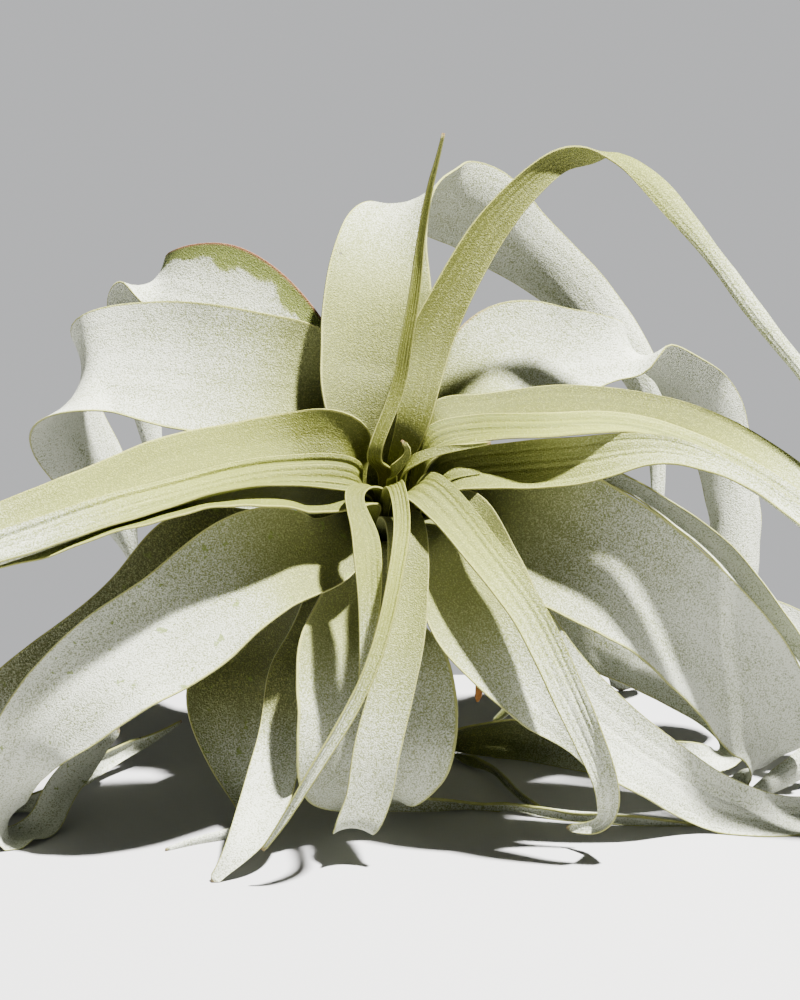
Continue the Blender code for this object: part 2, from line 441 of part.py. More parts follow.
def base_solid():
    """The woody base inside the sheaths: a cone whose blunt lower end is uneven."""
    d = np.array([16.0, 24, 34, 44, 54, 62, 67, BASE_TO - 2, BASE_TO])
    r = SHEATH_R + SHEATH_STEP * (d - SHEATH_D) / SHEATH_DROP - THICK / 2 - BASE_GAP
    r[-2:] = r[-3] - np.array([1.5, 6.0])
    a = np.arange(BASE_SIDES) * 2 * math.pi / BASE_SIDES
    dents = 0.06 * (1 + np.sin(5 * a + 1.0) * np.cos(2 * a))
    rough = 1 - np.clip((d - 66) / 7, 0, 1)[:, None] * dents
    ring = SIDE * np.cos(a)[:, None] + BACK * np.sin(a)[:, None]
    verts = HEART - AXIS * d[:, None, None] + ring * (r[:, None] * rough)[..., None]
    n, k = len(d), len(a)
    faces = []
    for i in range(n - 1):
        for j in range(k):
            p, q = i * k + j, i * k + (j + 1) % k
            faces += [(p, p + k, q + k), (p, q + k, q)]
    ends = np.array([HEART - AXIS * (d[0] - 0.6), HEART - AXIS * (d[-1] + 0.8)])
    for j in range(k):
        q, e = (j + 1) % k, (n - 1) * k
        faces += [(n * k, j, q), (n * k + 1, e + q, e + j)]
    return np.concatenate([verts.reshape(-1, 3), ends]), np.array(faces)


# ---- Blender objects ----
def clear_scene():
    """Removes every object the session starts with."""
    for ob in list(bpy.data.objects):
        bpy.data.objects.remove(ob, do_unlink=True)


def material(name):
    """One plain Principled material per kind of surface."""
    mat = bpy.data.materials.get(name) or bpy.data.materials.new(name)
    mat.use_nodes = True
    shader = mat.node_tree.nodes["Principled BSDF"]
    shader.inputs["Base Color"].default_value = (*COLOURS[name], 1.0)
    shader.inputs["Roughness"].default_value = 0.7
    return mat


def add_object(name, verts, faces, skin, home):
    """Makes a mesh object of millimetre vertices and puts it in the plant's collection."""
    mesh = bpy.data.meshes.new(name)
    mesh.from_pydata((verts / 1000.0).tolist(), [], faces.tolist())
    mesh.materials.append(material(skin))
    ob = bpy.data.objects.new(name, mesh)
    home.objects.link(ob)
    return ob


def build():
    """Builds the whole plant with the bottom centre of its box at the origin."""
    clear_scene()
    home = bpy.data.collections.new(NAME)
    bpy.context.scene.collection.children.link(home)
    shapes = ease_apart()
    solids = {name: (*leaf_solid(lf, shapes[name]), lf["skin"]) for name, lf in LEAVES.items()}
    solids["caudex"] = (*base_solid(), "woody_base")
    every = np.concatenate([v for v, _, _ in solids.values()])
    middle = (every.min(0) + every.max(0)) / 2
    centre = np.array([middle[0], middle[1], 0.0])
    for name, (verts, faces, skin) in solids.items():
        add_object(name, verts - centre, faces, skin, home)
    print("pieces", len(solids), "triangles", sum(len(f) for _, f, _ in solids.values()),
          "centre", np.round(centre, 3).tolist(), "size", np.round(np.ptp(every, axis=0), 1).tolist())


build()
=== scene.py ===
# %% [markdown]
# # A xerographica air plant
# The plant is a rosette: every leaf is a long blade that starts as a sheath on a short woody
# base, leans out, and curls under its own weight. The packed model already holds each leaf as
# a plain solid. Here every leaf is made again on a much finer grid, in the same place, and gets
# its grooves, its silver scales and its colours. First the packed model is loaded, and its box
# is kept for the measurements at the end.

# %% Load the packed model
import math

import bpy
import numpy as np
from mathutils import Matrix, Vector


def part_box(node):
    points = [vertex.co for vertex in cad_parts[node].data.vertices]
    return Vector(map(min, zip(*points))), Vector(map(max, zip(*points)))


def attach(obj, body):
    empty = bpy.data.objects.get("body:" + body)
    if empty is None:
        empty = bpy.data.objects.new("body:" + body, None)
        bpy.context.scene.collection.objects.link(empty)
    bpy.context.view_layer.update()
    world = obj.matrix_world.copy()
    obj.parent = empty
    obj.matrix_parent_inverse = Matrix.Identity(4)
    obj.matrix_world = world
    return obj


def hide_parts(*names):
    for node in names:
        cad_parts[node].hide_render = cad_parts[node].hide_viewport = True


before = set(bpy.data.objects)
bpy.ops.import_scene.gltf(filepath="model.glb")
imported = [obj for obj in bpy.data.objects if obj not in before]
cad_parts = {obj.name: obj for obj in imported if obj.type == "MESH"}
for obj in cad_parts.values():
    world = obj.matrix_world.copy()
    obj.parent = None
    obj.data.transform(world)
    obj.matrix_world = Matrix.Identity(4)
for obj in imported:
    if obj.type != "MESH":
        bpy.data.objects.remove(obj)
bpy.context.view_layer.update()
print("packed nodes:", len(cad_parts))

# %% [markdown]
# ## The drawing sheet
# A curling leaf is easiest to set out by its two margins, as on a drawing. The sheet here leans
# back by 15 degrees and is seen from 1.1 m away. A row of a leaf says where its left and right
# margins cross the sheet (upper face towards the reader, tip upward), how far back the middle
# of the row lies, and how much deeper the right margin is than the middle. One formula turns a
# crossing and a depth into a point in space, so the sheet never has to be drawn.

# %% Sheet and rosette axes
SHEET = 2.4                      # sheet units in a millimetre
SHEET_HIGH = 1000.0              # height of the sheet
SHEET_MID = (400.0, 500.0)       # point of the sheet that the eye aims at
LEAN, EYE = 15.0, 1100.0         # lean of the sheet, distance it is seen from
MIDDLE = (385.0, 470.0)          # where the heart of the rosette crosses the sheet
HEART = np.array([0.0, 0.0, 150.0])  # millimetres, over the point below it on the floor
TILT = 30.0                      # lean of the rosette's axis towards the front
SHEATH_R, SHEATH_STEP = 4.0, 1.45    # radius of the innermost sheath, step from layer to layer
SHEATH_D, SHEATH_DROP = 18.0, 4.4    # its distance below the heart, drop from layer to layer
SHEATH_ARC = 66.0                # how far a sheath wraps round the base
THICK, THIN = 1.2, 0.65          # blade in the middle of the sheath, blade at its thinnest
ROOM, CORE, ROUNDS = 0.9, 95.0, 45   # clear room, radius of the nested core, rounds of easing

lean, tilt = math.radians(LEAN), math.radians(TILT)
AXIS = np.array([0.0, -math.sin(tilt), math.cos(tilt)])
SIDE, BACK = np.array([1.0, 0.0, 0.0]), np.array([0.0, math.cos(tilt), math.sin(tilt)])
SHEET_UP = np.array([0.0, math.sin(lean), math.cos(lean)])
SHEET_IN = np.array([0.0, math.cos(lean), -math.sin(lean)])
AIM = HEART + SIDE * (SHEET_MID[0] - MIDDLE[0]) / SHEET - SHEET_UP * (SHEET_MID[1] - MIDDLE[1]) / SHEET
EYE_AT = AIM - SHEET_IN * EYE


def off_sheet(x, y, depth):
    """The point seen at (x, y): from the eye along the ray through it, to the given depth."""
    ray = SHEET_IN + SIDE * (x - SHEET_MID[0]) / SHEET / EYE + SHEET_UP * (SHEET_MID[1] - y) / SHEET / EYE
    return EYE_AT + ray * (depth - EYE_AT[1]) / ray[1]


print("eye at", np.round(EYE_AT, 1), "mm")

# %% [markdown]
# ## The leaves
# The facts of each leaf are its layer (inner leaves are low numbers), the side of the base it
# starts on in degrees, how strongly its cross-section curls at the middle and at the tip, and its
# rows of margins. Where it differs from a plain silver leaf, it also says what its skin is, that
# it rests on the floor, how deeply it is pleated, how far its right margin droops (millimetres),
# how far the silver scales cover it, how strongly a darker olive covers its base half (partly its
# own duller colour, partly painted shade), how worn it is, and where its rim is bruised: the side
# of the blade, start and end along it, and width.

# %% Table of leaves
PLAIN = {"pleats": 0.08, "droop": 0.0, "scales": 0.95, "dull": 0.0, "worn": 0.15, "rim": None}
LEAVES = {}


def leaf(name, layer, around, curl, rows, skin="silver_leaf", rests=False, **looks):
    """Files one leaf under its name, with PLAIN looks where it states none."""
    LEAVES[name] = dict(PLAIN, layer=layer, around=around, curl=curl, rows=rows, skin=skin, rests=rests)
    LEAVES[name].update(looks)


leaf("bud_curl", 0, 310, (90, 120), [
    (393, 464, 399, 473, -13, 0), (403, 455, 409, 460, -17, 0), (405, 447, 410, 450, -19, 0),
    (401, 440, 402, 441, -19, 0)], "green_leaf", scales=0.1)
leaf("bud_right", 1, 345, (90, 140), [
    (412, 457, 408, 469, -13, -1), (440, 446, 441, 455, -14, -1), (466, 444, 467, 449, -14, 0),
    (491, 444, 491, 446, -14, 0)], "green_leaf", scales=0.2)
leaf("spire", 1.1, 90, (90, 150), [
    (368, 455, 380, 458, -3, 0), (388, 395, 402, 398, -1, 0), (399, 345, 412, 347, 0, 0),
    (408, 300, 419, 302, 0, 0), (417, 240, 425, 241, -1, 0), (427, 190, 432, 191, -5, 0),
    (436, 158, 439, 159, -8, 0), (443, 133, 444, 134, -10, 0)], "green_leaf", pleats=0.3, scales=0.15)
leaf("front_left_slim", 1.2, 247, (60, 90), [
    (361, 497, 347, 499, -25, -2), (377, 528, 351, 531, -39, -3), (382, 556, 354, 558, -47, -2),
    (382, 590, 357, 592, -53, -2), (375, 632, 359, 632, -58, 0), (362, 682, 360, 682, -62, 0)],
     "green_leaf", pleats=0.25, scales=0.45)
leaf("front_cream", 2, 283, (90, 150), [
    (403, 480, 388, 486, -22, 0), (410, 512, 393, 512, -38, 0), (405, 562, 391, 558, -58, 0),
    (386, 645, 374, 640, -75, 0), (352, 722, 340, 718, -84, 0), (312, 785, 303, 780, -88, 0),
    (280, 832, 275, 828, -88, 0), (263, 851, 262, 850, -87, 0)], "green_leaf", pleats=0.3, scales=0.4)
leaf("long_arch", 2.1, 60, (50, 200), [
    (400, 415, 432, 425, 6, -1), (404, 350, 451, 355, 14, 0), (434, 288, 470, 304, 19, 0),
    (475, 220, 504, 241, 24, 0), (523, 173, 547, 186, 28, 0), (562, 150, 572, 168, 30, 2),
    (590, 149, 594, 164, 31, 4.5), (612, 160, 612, 154, 30, 5.5), (638, 184, 644, 164, 29, 4.5),
    (664, 214, 676, 194, 27, 3), (704, 258, 719, 249, 23, 2), (743, 310, 757, 301, 17, 1),
    (793, 372, 806, 364, 8, 1), (840, 440, 851, 434, -2, 1), (872, 508, 881, 505, -12, 0),
    (888, 562, 890, 561, -18, 0)], "green_leaf", pleats=0.18, scales=0.35, dull=1.0)
leaf("left_grooved", 2.2, 202, (70, 120), [
    (364, 488, 360, 452, -6, 6), (312, 481, 315, 449, -16, 7), (250, 486, 250, 460, -25, 8),
    (175, 505, 172, 479, -37, 8), (112, 526, 106, 496, -49, 8), (37, 550, 30, 520, -63, 8),
    (-40, 577, -50, 549, -78, 8), (-100, 616, -115, 596, -92, 6), (-138, 672, -140, 671, -100, 0)],
     "green_leaf", pleats=1.0, scales=0.4)
leaf("front_right_long", 3, 308, (60, 80), [
    (438, 474, 404, 500, -20, -4), (474, 508, 436, 524, -34, -4), (510, 556, 474, 568, -46, -4),
    (547, 610, 511, 617, -56, -3), (580, 680, 547, 685, -64, -2), (605, 740, 573, 740, -68, 0),
    (618, 785, 594, 786, -68, 0), (616, 814, 597, 808, -63, 2), (596, 834, 592, 819, -54, 3),
    (567, 829, 566, 827, -46, 0)], "green_leaf", pleats=0.45, scales=0.6)
leaf("left_broad", 3.25, 196, (60, 90), [
    (348, 522, 340, 424, -4, 12), (285, 510, 282, 414, -14, 20), (212, 508, 207, 428, -22, 21),
    (150, 521, 138, 448, -34, 20), (75, 545, 62, 478, -48, 17), (0, 568, -10, 506, -59, 14),
    (-75, 592, -92, 538, -67, 13), (-135, 645, -160, 600, -69, 10), (-150, 715, -172, 695, -64, 4),
    (-142, 775, -144, 774, -54, 0)], "green_leaf", pleats=0.22, scales=0.35, dull=0.45)
leaf("right_channel", 3.45, 12, (70, 150), [
    (424, 428, 428, 458, -2, -8), (462, 416, 466, 440, 3, -9), (550, 404, 553, 423, 5, -10),
    (637, 411, 637, 425, 1, -10), (712, 440, 706, 452, -8, -9), (800, 489, 793, 503, -21, -8),
    (862, 545, 850, 553, -31, -5), (908, 615, 898, 618, -36, -3), (930, 695, 928, 695, -36, 0)],
     "green_leaf", pleats=0.9, droop=1.6, scales=0.35)
leaf("back_tall", 3.95, 101, (60, 210), [
    (319, 385, 424, 385, 10, 0), (320, 345, 433, 335, 17, 0), (324, 300, 432, 288, 26, 0),
    (336, 244, 428, 240, 40, 0), (357, 208, 428, 206, 54, -6), (388, 202, 436, 178, 68, -12),
    (426, 232, 450, 160, 80, -12), (462, 248, 480, 163, 88, -8), (502, 272, 519, 199, 95, -4),
    (546, 303, 568, 244, 99, -2), (590, 343, 615, 297, 100, 0), (626, 385, 646, 346, 98, 0),
    (648, 430, 663, 418, 96, 0), (651, 480, 665, 480, 93, 0), (643, 530, 655, 536, 88, 0),
    (612, 592, 622, 601, 80, 0), (572, 640, 583, 650, 74, 0), (510, 700, 518, 708, 76, 0),
    (492, 723, 493, 724, 78, 0)], scales=0.8)
leaf("front_broad", 4, 282, (50, 70), [
    (424, 520, 386, 526, -27, -2), (428, 580, 386, 584, -42, 0), (424, 635, 380, 640, -52, 0),
    (412, 700, 367, 700, -60, 0), (400, 755, 353, 752, -66, 0), (388, 808, 343, 806, -68, 0),
    (373, 832, 331, 834, -66, 0), (368, 826, 336, 822, -56, 0), (352, 806, 350, 806, -48, 0)],
     scales=0.6)
leaf("right_lower_edge", 4.2, 355, (50, 130), [
    (440, 455, 448, 492, -8, -8), (497, 430, 520, 471, -9, -7), (577, 412, 590, 457, -14, -4),
    (652, 425, 657, 455, -20, -5), (716, 454, 713, 472, -29, -5), (790, 498, 779, 508, -36, -6),
    (850, 556, 838, 562, -43, -4), (895, 628, 886, 630, -48, -2), (915, 702, 914, 702, -48, 0)],
     "green_leaf", pleats=0.3, scales=0.5)
leaf("left_back_broad", 4.4, 140, (45, 90), [
    (316, 455, 316, 335, 24, 11), (262, 440, 268, 315, 30, 11), (192, 432, 205, 302, 34, 11),
    (140, 422, 150, 300, 36, 11), (106, 412, 120, 307, 37, 10), (76, 414, 99, 317, 37, 10),
    (44, 424, 90, 339, 41, 11), (32, 446, 86, 367, 50, 11), (46, 474, 97, 402, 60, 9),
    (82, 512, 120, 452, 70, 5), (134, 562, 136, 560, 74, 0)])
leaf("front_right_broad", 5, 312, (50, 70), [
    (478, 492, 424, 545, -24, -6), (505, 525, 424, 590, -34, -8), (530, 575, 432, 638, -43, -8),
    (555, 640, 466, 668, -49, -6), (580, 700, 512, 704, -52, -3), (592, 745, 566, 742, -51, 0),
    (598, 778, 597, 777, -50, 0)], pleats=0.15, scales=0.7, dull=0.4)
leaf("right_back_broad", 5.1, 38, (50, 130), [
    (436, 402, 440, 440, 15, -8), (475, 396, 480, 428, 23, -9), (550, 386, 552, 420, 27, -10),
    (625, 390, 626, 422, 24, -10), (700, 407, 698, 436, 15, -9), (800, 462, 790, 486, -2, -8),
    (868, 522, 853, 537, -15, -6), (925, 605, 910, 612, -24, -4), (950, 695, 948, 696, -24, 0)],
     "green_leaf", pleats=0.15, scales=0.25, dull=1.8)
leaf("left_low_long", 5.2, 225, (45, 60), [
    (340, 582, 318, 514, -18, 9), (300, 606, 240, 511, -27, 11), (224, 664, 152, 571, -42, 11),
    (150, 708, 80, 621, -52, 9), (96, 742, 22, 680, -56, 4), (52, 772, -8, 735, -55, -2),
    (32, 798, -12, 782, -50, -8), (22, 822, -2, 812, -43, -11), (20, 836, 8, 838, -38, -11),
    (34, 818, 44, 838, -30, -6), (46, 786, 70, 806, -16, -4), (78, 748, 96, 770, 6, -2),
    (119, 728, 120, 731, 26, 0)], rests=True, worn=1.0)
leaf("left_back_rim", 5.3, 133, (40, 100), [
    (258, 378, 281, 283, 56, 10), (214, 350, 222, 241, 65, 9), (184, 330, 188, 240, 71, 8),
    (160, 306, 160, 257, 76, 6), (136, 281, 148, 279, 83, 8), (113, 286, 147, 300, 93, 8),
    (114, 320, 154, 334, 100, 6), (124, 372, 158, 384, 104, 4), (140, 430, 162, 438, 104, 2),
    (158, 480, 160, 480, 102, 0)], rim=(1, 0.12, 0.62, 0.4))
leaf("right_silver_broad", 6, 345, (45, 70), [
    (530, 452, 482, 550, -4, -10), (590, 470, 530, 600, -10, -12), (650, 508, 588, 628, -12, -12),
    (712, 560, 640, 658, -9, -10), (772, 622, 690, 706, -4, -8), (808, 682, 722, 746, 1, -6),
    (810, 722, 741, 776, 6, -3), (784, 750, 747, 786, 11, 0), (756, 777, 738, 790, 17, 1),
    (724, 788, 723, 790, 20, 0)], rests=True, dull=0.35)
leaf("front_drape", 6.1, 260, (60, 200), [
    (412, 600, 322, 600, -18, -4), (440, 640, 296, 640, -32, -5), (458, 700, 295, 700, -45, -6),
    (456, 748, 296, 750, -52, -6), (444, 785, 297, 790, -49, -4), (420, 803, 325, 806, -36, 0),
    (410, 802, 366, 808, -20, 0), (430, 800, 412, 806, -10, 0), (470, 800, 469, 806, -4, 0),
    (525, 805, 525, 812, -11, 0), (590, 812, 590, 821, -19, 0), (650, 815, 650, 824, -22, 0),
    (697, 822, 697, 823, -22, 0)], rests=True)
leaf("right_back_hood", 7, 45, (40, 180), [
    (500, 296, 520, 396, 46, -10), (558, 305, 564, 396, 54, -9), (600, 312, 599, 386, 60, -8),
    (634, 330, 624, 370, 66, -8), (650, 364, 646, 342, 71, -12), (672, 392, 682, 347, 75, -11),
    (691, 428, 716, 369, 77, -6), (699, 458, 742, 424, 79, -2), (706, 500, 757, 490, 80, 0),
    (711, 540, 760, 545, 79, 0), (711, 580, 756, 590, 76, 0), (704, 625, 742, 640, 72, 0),
    (689, 700, 691, 701, 66, 0)], rim=(-1, 0.22, 0.3, 0.05))
leaf("right_sweep", 7.1, 315, (50, 80), [
    (530, 590, 490, 650, -24, -8), (560, 632, 528, 702, -32, -9), (620, 695, 588, 764, -36, -9),
    (675, 740, 645, 798, -33, -8), (725, 775, 702, 827, -25, -6), (780, 797, 765, 836, -26, -8),
    (835, 796, 830, 826, -18, -8), (880, 772, 890, 798, -4, -8), (893, 738, 918, 745, 12, -6),
    (872, 716, 884, 716, 24, -2), (812, 737, 822, 764, 24, 0), (765, 772, 775, 792, 14, 0),
    (738, 800, 740, 802, 4, 0)], rests=True, pleats=0.25)
leaf("left_shade", 7.2, 200, (50, 110), [
    (300, 580, 262, 514, 0, 8), (230, 590, 172, 514, -8, 10), (170, 634, 125, 564, -14, 10),
    (112, 678, 75, 611, -18, 9), (50, 724, 15, 656, -22, 6), (-6, 770, -38, 708, -24, 0),
    (-36, 806, -66, 764, -24, -5), (-32, 832, -54, 822, -22, -7), (0, 818, -12, 824, -14, -5),
    (50, 795, 46, 808, 3, -3), (110, 752, 106, 772, 34, -2), (150, 736, 147, 746, 52, -1),
    (182, 721, 182, 722, 66, 0)], rests=True, dull=1.6, worn=0.6)
leaf("right_tube", 8, 16, (150, 220), [
    (528, 448, 524, 468, 24, -2), (580, 456, 574, 470, 31, 0), (625, 476, 617, 487, 36, 0),
    (687, 511, 674, 525, 41, 0), (745, 560, 727, 575, 42, 0), (780, 605, 758, 617, 38, 0),
    (812, 655, 794, 664, 28, 0), (830, 706, 828, 707, 18, 0)])
leaf("front_left_point", 8.1, 228, (50, 50), [
    (320, 640, 290, 630, -16, 0), (303, 670, 270, 672, -24, 0), (304, 718, 261, 722, -33, 0),
    (300, 768, 250, 763, -46, 0), (287, 808, 236, 806, -60, 0), (258, 846, 224, 842, -74, 0),
    (212, 880, 211, 880, -82, 0)], rests=True, dull=2.2, worn=0.5)
leaf("back_left_low", 8.2, 153, (45, 60), [
    (262, 545, 308, 515, 62, 12), (200, 545, 250, 500, 92, 14), (128, 590, 190, 550, 120, 14),
    (92, 645, 154, 612, 138, 11), (92, 678, 138, 656, 144, 6), (110, 692, 111, 691, 147, 0)],
     rests=True)
leaf("back_centre", 8.7, 89, (45, 60), [
    (342, 503, 432, 503, 72, 0), (324, 500, 436, 500, 104, 0), (322, 540, 430, 540, 134, 0),
    (328, 605, 422, 605, 152, 0), (344, 652, 406, 652, 162, 0), (375, 678, 376, 678, 166, 0)])
leaf("right_low_back", 9, 354, (50, 90), [
    (600, 540, 575, 585, 22, -8), (650, 552, 622, 608, 34, -9), (700, 572, 678, 632, 43, -9),
    (745, 590, 724, 655, 47, -9), (800, 610, 784, 680, 45, -9), (848, 650, 826, 712, 44, -7),
    (876, 708, 852, 745, 42, -3), (882, 768, 880, 768, 44, 0)], rests=True)
leaf("left_rear_drape", 9.1, 200, (50, 120), [
    (296, 652, 236, 628, 14, 9), (290, 672, 190, 676, 10, 4), (280, 708, 186, 706, 4, 0),
    (275, 752, 204, 752, -3, 0), (270, 784, 226, 788, -10, 0), (262, 808, 242, 814, -20, 0),
    (248, 822, 242, 830, -30, 0), (206, 833, 204, 842, -40, 0), (165, 849, 165, 850, -49, 0)],
     rests=True, dull=1.8, worn=1.0)
leaf("back_right_low", 10, 46, (45, 60), [
    (480, 500, 540, 530, 78, -12), (530, 500, 600, 545, 108, -12), (580, 560, 650, 600, 134, -8),
    (592, 620, 654, 652, 146, -4), (604, 660, 642, 678, 152, 0), (620, 690, 621, 690, 152, 0)],
     rests=True)
leaf("orange_tip", 10.1, 333, (50, 60), [
    (478, 640, 466, 642, 26, 0), (488, 672, 474, 676, 32, 0), (478, 702, 477, 702, 33, 0)])
leaf("back_low_drape", 10.2, 128, (45, 60), [
    (262, 590, 330, 570, 84, 8), (240, 630, 318, 610, 110, 9), (232, 662, 306, 650, 130, 6),
    (246, 692, 296, 684, 138, 2), (274, 700, 275, 700, 140, 0)])
leaf("floor_roll", 11, 6, (60, 220), [
    (570, 600, 548, 640, 40, -4), (640, 640, 614, 680, 54, -4), (710, 680, 682, 712, 60, -2),
    (748, 712, 716, 742, 56, 2), (738, 756, 722, 745, 46, 6), (700, 772, 700, 742, 37, 6),
    (650, 772, 650, 740, 38, 4), (600, 772, 600, 736, 42, 3), (550, 764, 550, 726, 52, 2),
    (510, 758, 510, 719, 60, 2), (475, 754, 472, 724, 61, 0), (452, 748, 448, 734, 60, -3),
    (466, 753, 466, 760, 50, -3), (486, 762, 483, 767, 40, 0), (512, 783, 509, 788, 14, 0),
    (538, 803, 534, 808, -6, 0), (560, 816, 559, 817, -14, 0)], rests=True)
print("leaves:", len(LEAVES))

# %% [markdown]
# ## Curves through a few points
# A natural cubic passes through its control points with the least bending, as a springy strip
# of leaf does. The same function carries any number of columns, so it bends the middle line and
# turns the direction across the leaf in one way.

# %% Curve helpers
def unit(v):
    """Vectors of length one: v divided by its length."""
    return v / np.maximum(np.linalg.norm(v, axis=-1, keepdims=True), 1e-9)


def ease(x):
    """Smooth step: 3x^2 - 2x^3 between 0 and 1."""
    x = np.clip(x, 0.0, 1.0)
    return x * x * (3 - 2 * x)


def smooth(a, times=1):
    """Weighted mean of each value and its two neighbours on either side, ends kept."""
    weights = np.array([1, 2, 3, 2, 1]) / 9
    for _ in range(times):
        a = np.convolve(np.concatenate([[a[0]] * 2, a, [a[-1]] * 2]), weights, "valid")
    return a


def cubic(points, knots, at):
    """Natural cubic: pieces k a^3 / 6h + ..., with k solved so that slope and bend are continuous."""
    n, h = len(points), np.diff(knots)
    m, r = np.zeros((n, n)), np.zeros(points.shape)
    m[0, 0] = m[-1, -1] = 1
    for i in range(1, n - 1):
        m[i, i - 1], m[i, i], m[i, i + 1] = h[i - 1], 2 * (h[i - 1] + h[i]), h[i]
        r[i] = 6 * ((points[i + 1] - points[i]) / h[i] - (points[i] - points[i - 1]) / h[i - 1])
    k = np.linalg.solve(m, r)
    i = np.clip(np.searchsorted(knots, at, side="right") - 1, 0, n - 2)
    g, a, b = h[i][:, None], (knots[i + 1] - at)[:, None], (at - knots[i])[:, None]
    return (k[i] * a**3 / (6 * g) + k[i + 1] * b**3 / (6 * g)
            + (points[i] / g - k[i] * g / 6) * a + (points[i + 1] / g - k[i + 1] * g / 6) * b)


print("half way up a smooth step:", ease(0.5))

# %% [markdown]
# ## Control points
# A row of the table gives two points in space, one for each margin. Their middle and half their
# chord steer the blade. Two rows are put before them, where the leaf wraps the base as a sheath.

# %% Control points of a leaf
def controls(lf):
    """Middle points and half chords of a leaf: two rows of sheath round the base, then its rows."""
    a, k = math.radians(lf["around"]), lf["layer"] / 10
    out = SIDE * math.cos(a) + BACK * math.sin(a)
    r, d = SHEATH_R + SHEATH_STEP * lf["layer"], SHEATH_D + SHEATH_DROP * lf["layer"]
    spread, run = math.radians(3 + 14 * k), 16 + 12 * k
    base = HEART - AXIS * d + out * r
    neck = base + run * (AXIS * math.cos(spread) + out * math.sin(spread))
    left = np.array([off_sheet(q[0], q[1], q[4] - q[5]) for q in lf["rows"]])
    right = np.array([off_sheet(q[2], q[3], q[4] + q[5]) for q in lf["rows"]])
    half, across = (right - left) / 2, np.cross(out, AXIS)
    h0 = r * math.sin(math.radians(SHEATH_ARC / 2))
    h1 = min(max(h0 * 1.25, 0.5 * np.linalg.norm(half[0])), r + run * math.sin(spread))
    return np.vstack([base, neck, (left + right) / 2]), np.vstack([across * h0, across * h1, half])


shapes = {name: controls(lf) for name, lf in LEAVES.items()}
print("control rows:", sum(len(points) for points, _ in shapes.values()))

# %% [markdown]
# ## The blade
# A cross-section of the leaf is an arc of a circle. Close to the heart it is wrapped round the
# rosette's axis, and farther out it has the leaf's own curl. The arc hangs between the margins,
# which stay where the table puts them. Sweeping the arc along the middle line gives the surface,
# its normal, and the directions across and along it.

# %% Blade surface
def curl_angle(lf, a, rho, f, times):
    """Angle of the arc: 2 asin(half chord / distance from the axis) near it, then the leaf's own."""
    mid, tip = (math.radians(c) for c in lf["curl"])
    wrapped = 2 * np.arcsin(np.clip(a / np.maximum(rho, 1), 0, 0.94))
    own, b = np.interp(f, [0, 0.5, 0.95], [mid, mid, tip]), ease((rho - 18) / 40)
    return smooth(wrapped * (1 - b) + own * b, times)


def middle_line(points, n):
    """Parameters of n rows evenly spaced along the curve, their lengths, and the controls' lengths."""
    knots = np.concatenate([[0], np.cumsum(np.linalg.norm(np.diff(points, axis=0), axis=1) ** 0.8)])
    x = np.linspace(0, knots[-1], 500)
    s = np.concatenate([[0], np.cumsum(np.linalg.norm(np.diff(cubic(points, knots, x), axis=0), axis=1))])
    at = np.interp(np.linspace(0, s[-1], n), s, x)
    return knots, at, np.interp(at, x, s), np.interp(knots, x, s)


def blade(lf, shape, n, u, times=1):
    """Arc of radius r = a / sin(th/2) swept along the line: S = q + r sin(phi) w + r (1 - cos phi) up."""
    points, halves = shape
    knots, at, s, marks = middle_line(points, n)
    q, size = cubic(points, knots, at), np.linalg.norm(halves, axis=1)
    a = smooth(np.interp(at, knots, size), times)
    a[-1] = size[-1]
    a = np.maximum(a, 0.45)
    t = unit(np.gradient(q, s, axis=0))
    w = unit(cubic(unit(halves), knots, at))
    w = unit(w - t * (w * t).sum(1)[:, None])
    up, rel, f = np.cross(w, t), q - HEART, s / s[-1]
    rho = np.linalg.norm(rel - (rel @ AXIS)[:, None] * AXIS, axis=1)
    th = curl_angle(lf, a, rho, f, times)
    r = np.where(th < math.pi, a / np.sin(np.minimum(th, math.pi) / 2), a)
    sink = np.where(th < math.pi, r * (1 - np.cos(th / 2)), r) * np.clip((rho - 10) / 25, 0, 1)
    phi = u[None, :] * th[:, None] / 2
    lift = r[:, None] * (1 - np.cos(phi)) - sink[:, None]
    surf = q[:, None] + w[:, None] * (r[:, None] * np.sin(phi))[..., None] + up[:, None] * lift[..., None]
    wide = w[:, None] * np.cos(phi)[..., None] + up[:, None] * np.sin(phi)[..., None]
    along = unit(np.gradient(surf, axis=0))
    normal = unit(np.cross(wide, along))
    thick = np.maximum(THICK * (1 - 0.3 * f)[:, None] * (1 - 0.25 * np.abs(u)[None, :] ** 3), THIN)
    pace = np.maximum(np.linalg.norm(np.gradient(surf, axis=0), axis=-1), 0.2)
    bend = np.einsum("ijk,ijk->ij", np.gradient(along, axis=0) / pace[..., None], normal)
    flat = surf.reshape(-1, 3)
    return dict(S=surf, N=normal, W=wide, T=along, thick=thick, s=s, marks=marks, lo=flat.min(0),
                hi=flat.max(0), width=r * th, rho=rho, kt=np.clip(bend, -0.1, 0.1),
                kw=np.repeat((1 / np.maximum(r, 1.5))[:, None], len(u), 1))


COARSE, COARSE_ROWS = np.linspace(-1, 1, 7), 44      # columns and rows of the coarse blades
trial = blade(LEAVES["right_silver_broad"], shapes["right_silver_broad"], COARSE_ROWS, COARSE)
print("broadest leaf: %.0f mm long, %.0f mm across" % (trial["s"][-1], trial["width"].max()))

# %% [markdown]
# ## Room between the leaves
# Growing leaves push each other aside, and so do these, in the same way that shaped the packed
# solids, so the fine leaves come out in the same places. First comes the height of one leaf's
# points over the nearest points of another, with the bend of that leaf taken into account.

# %% Height over a neighbour
REACH = 9.0                      # how far a leaf feels its neighbours, millimetres


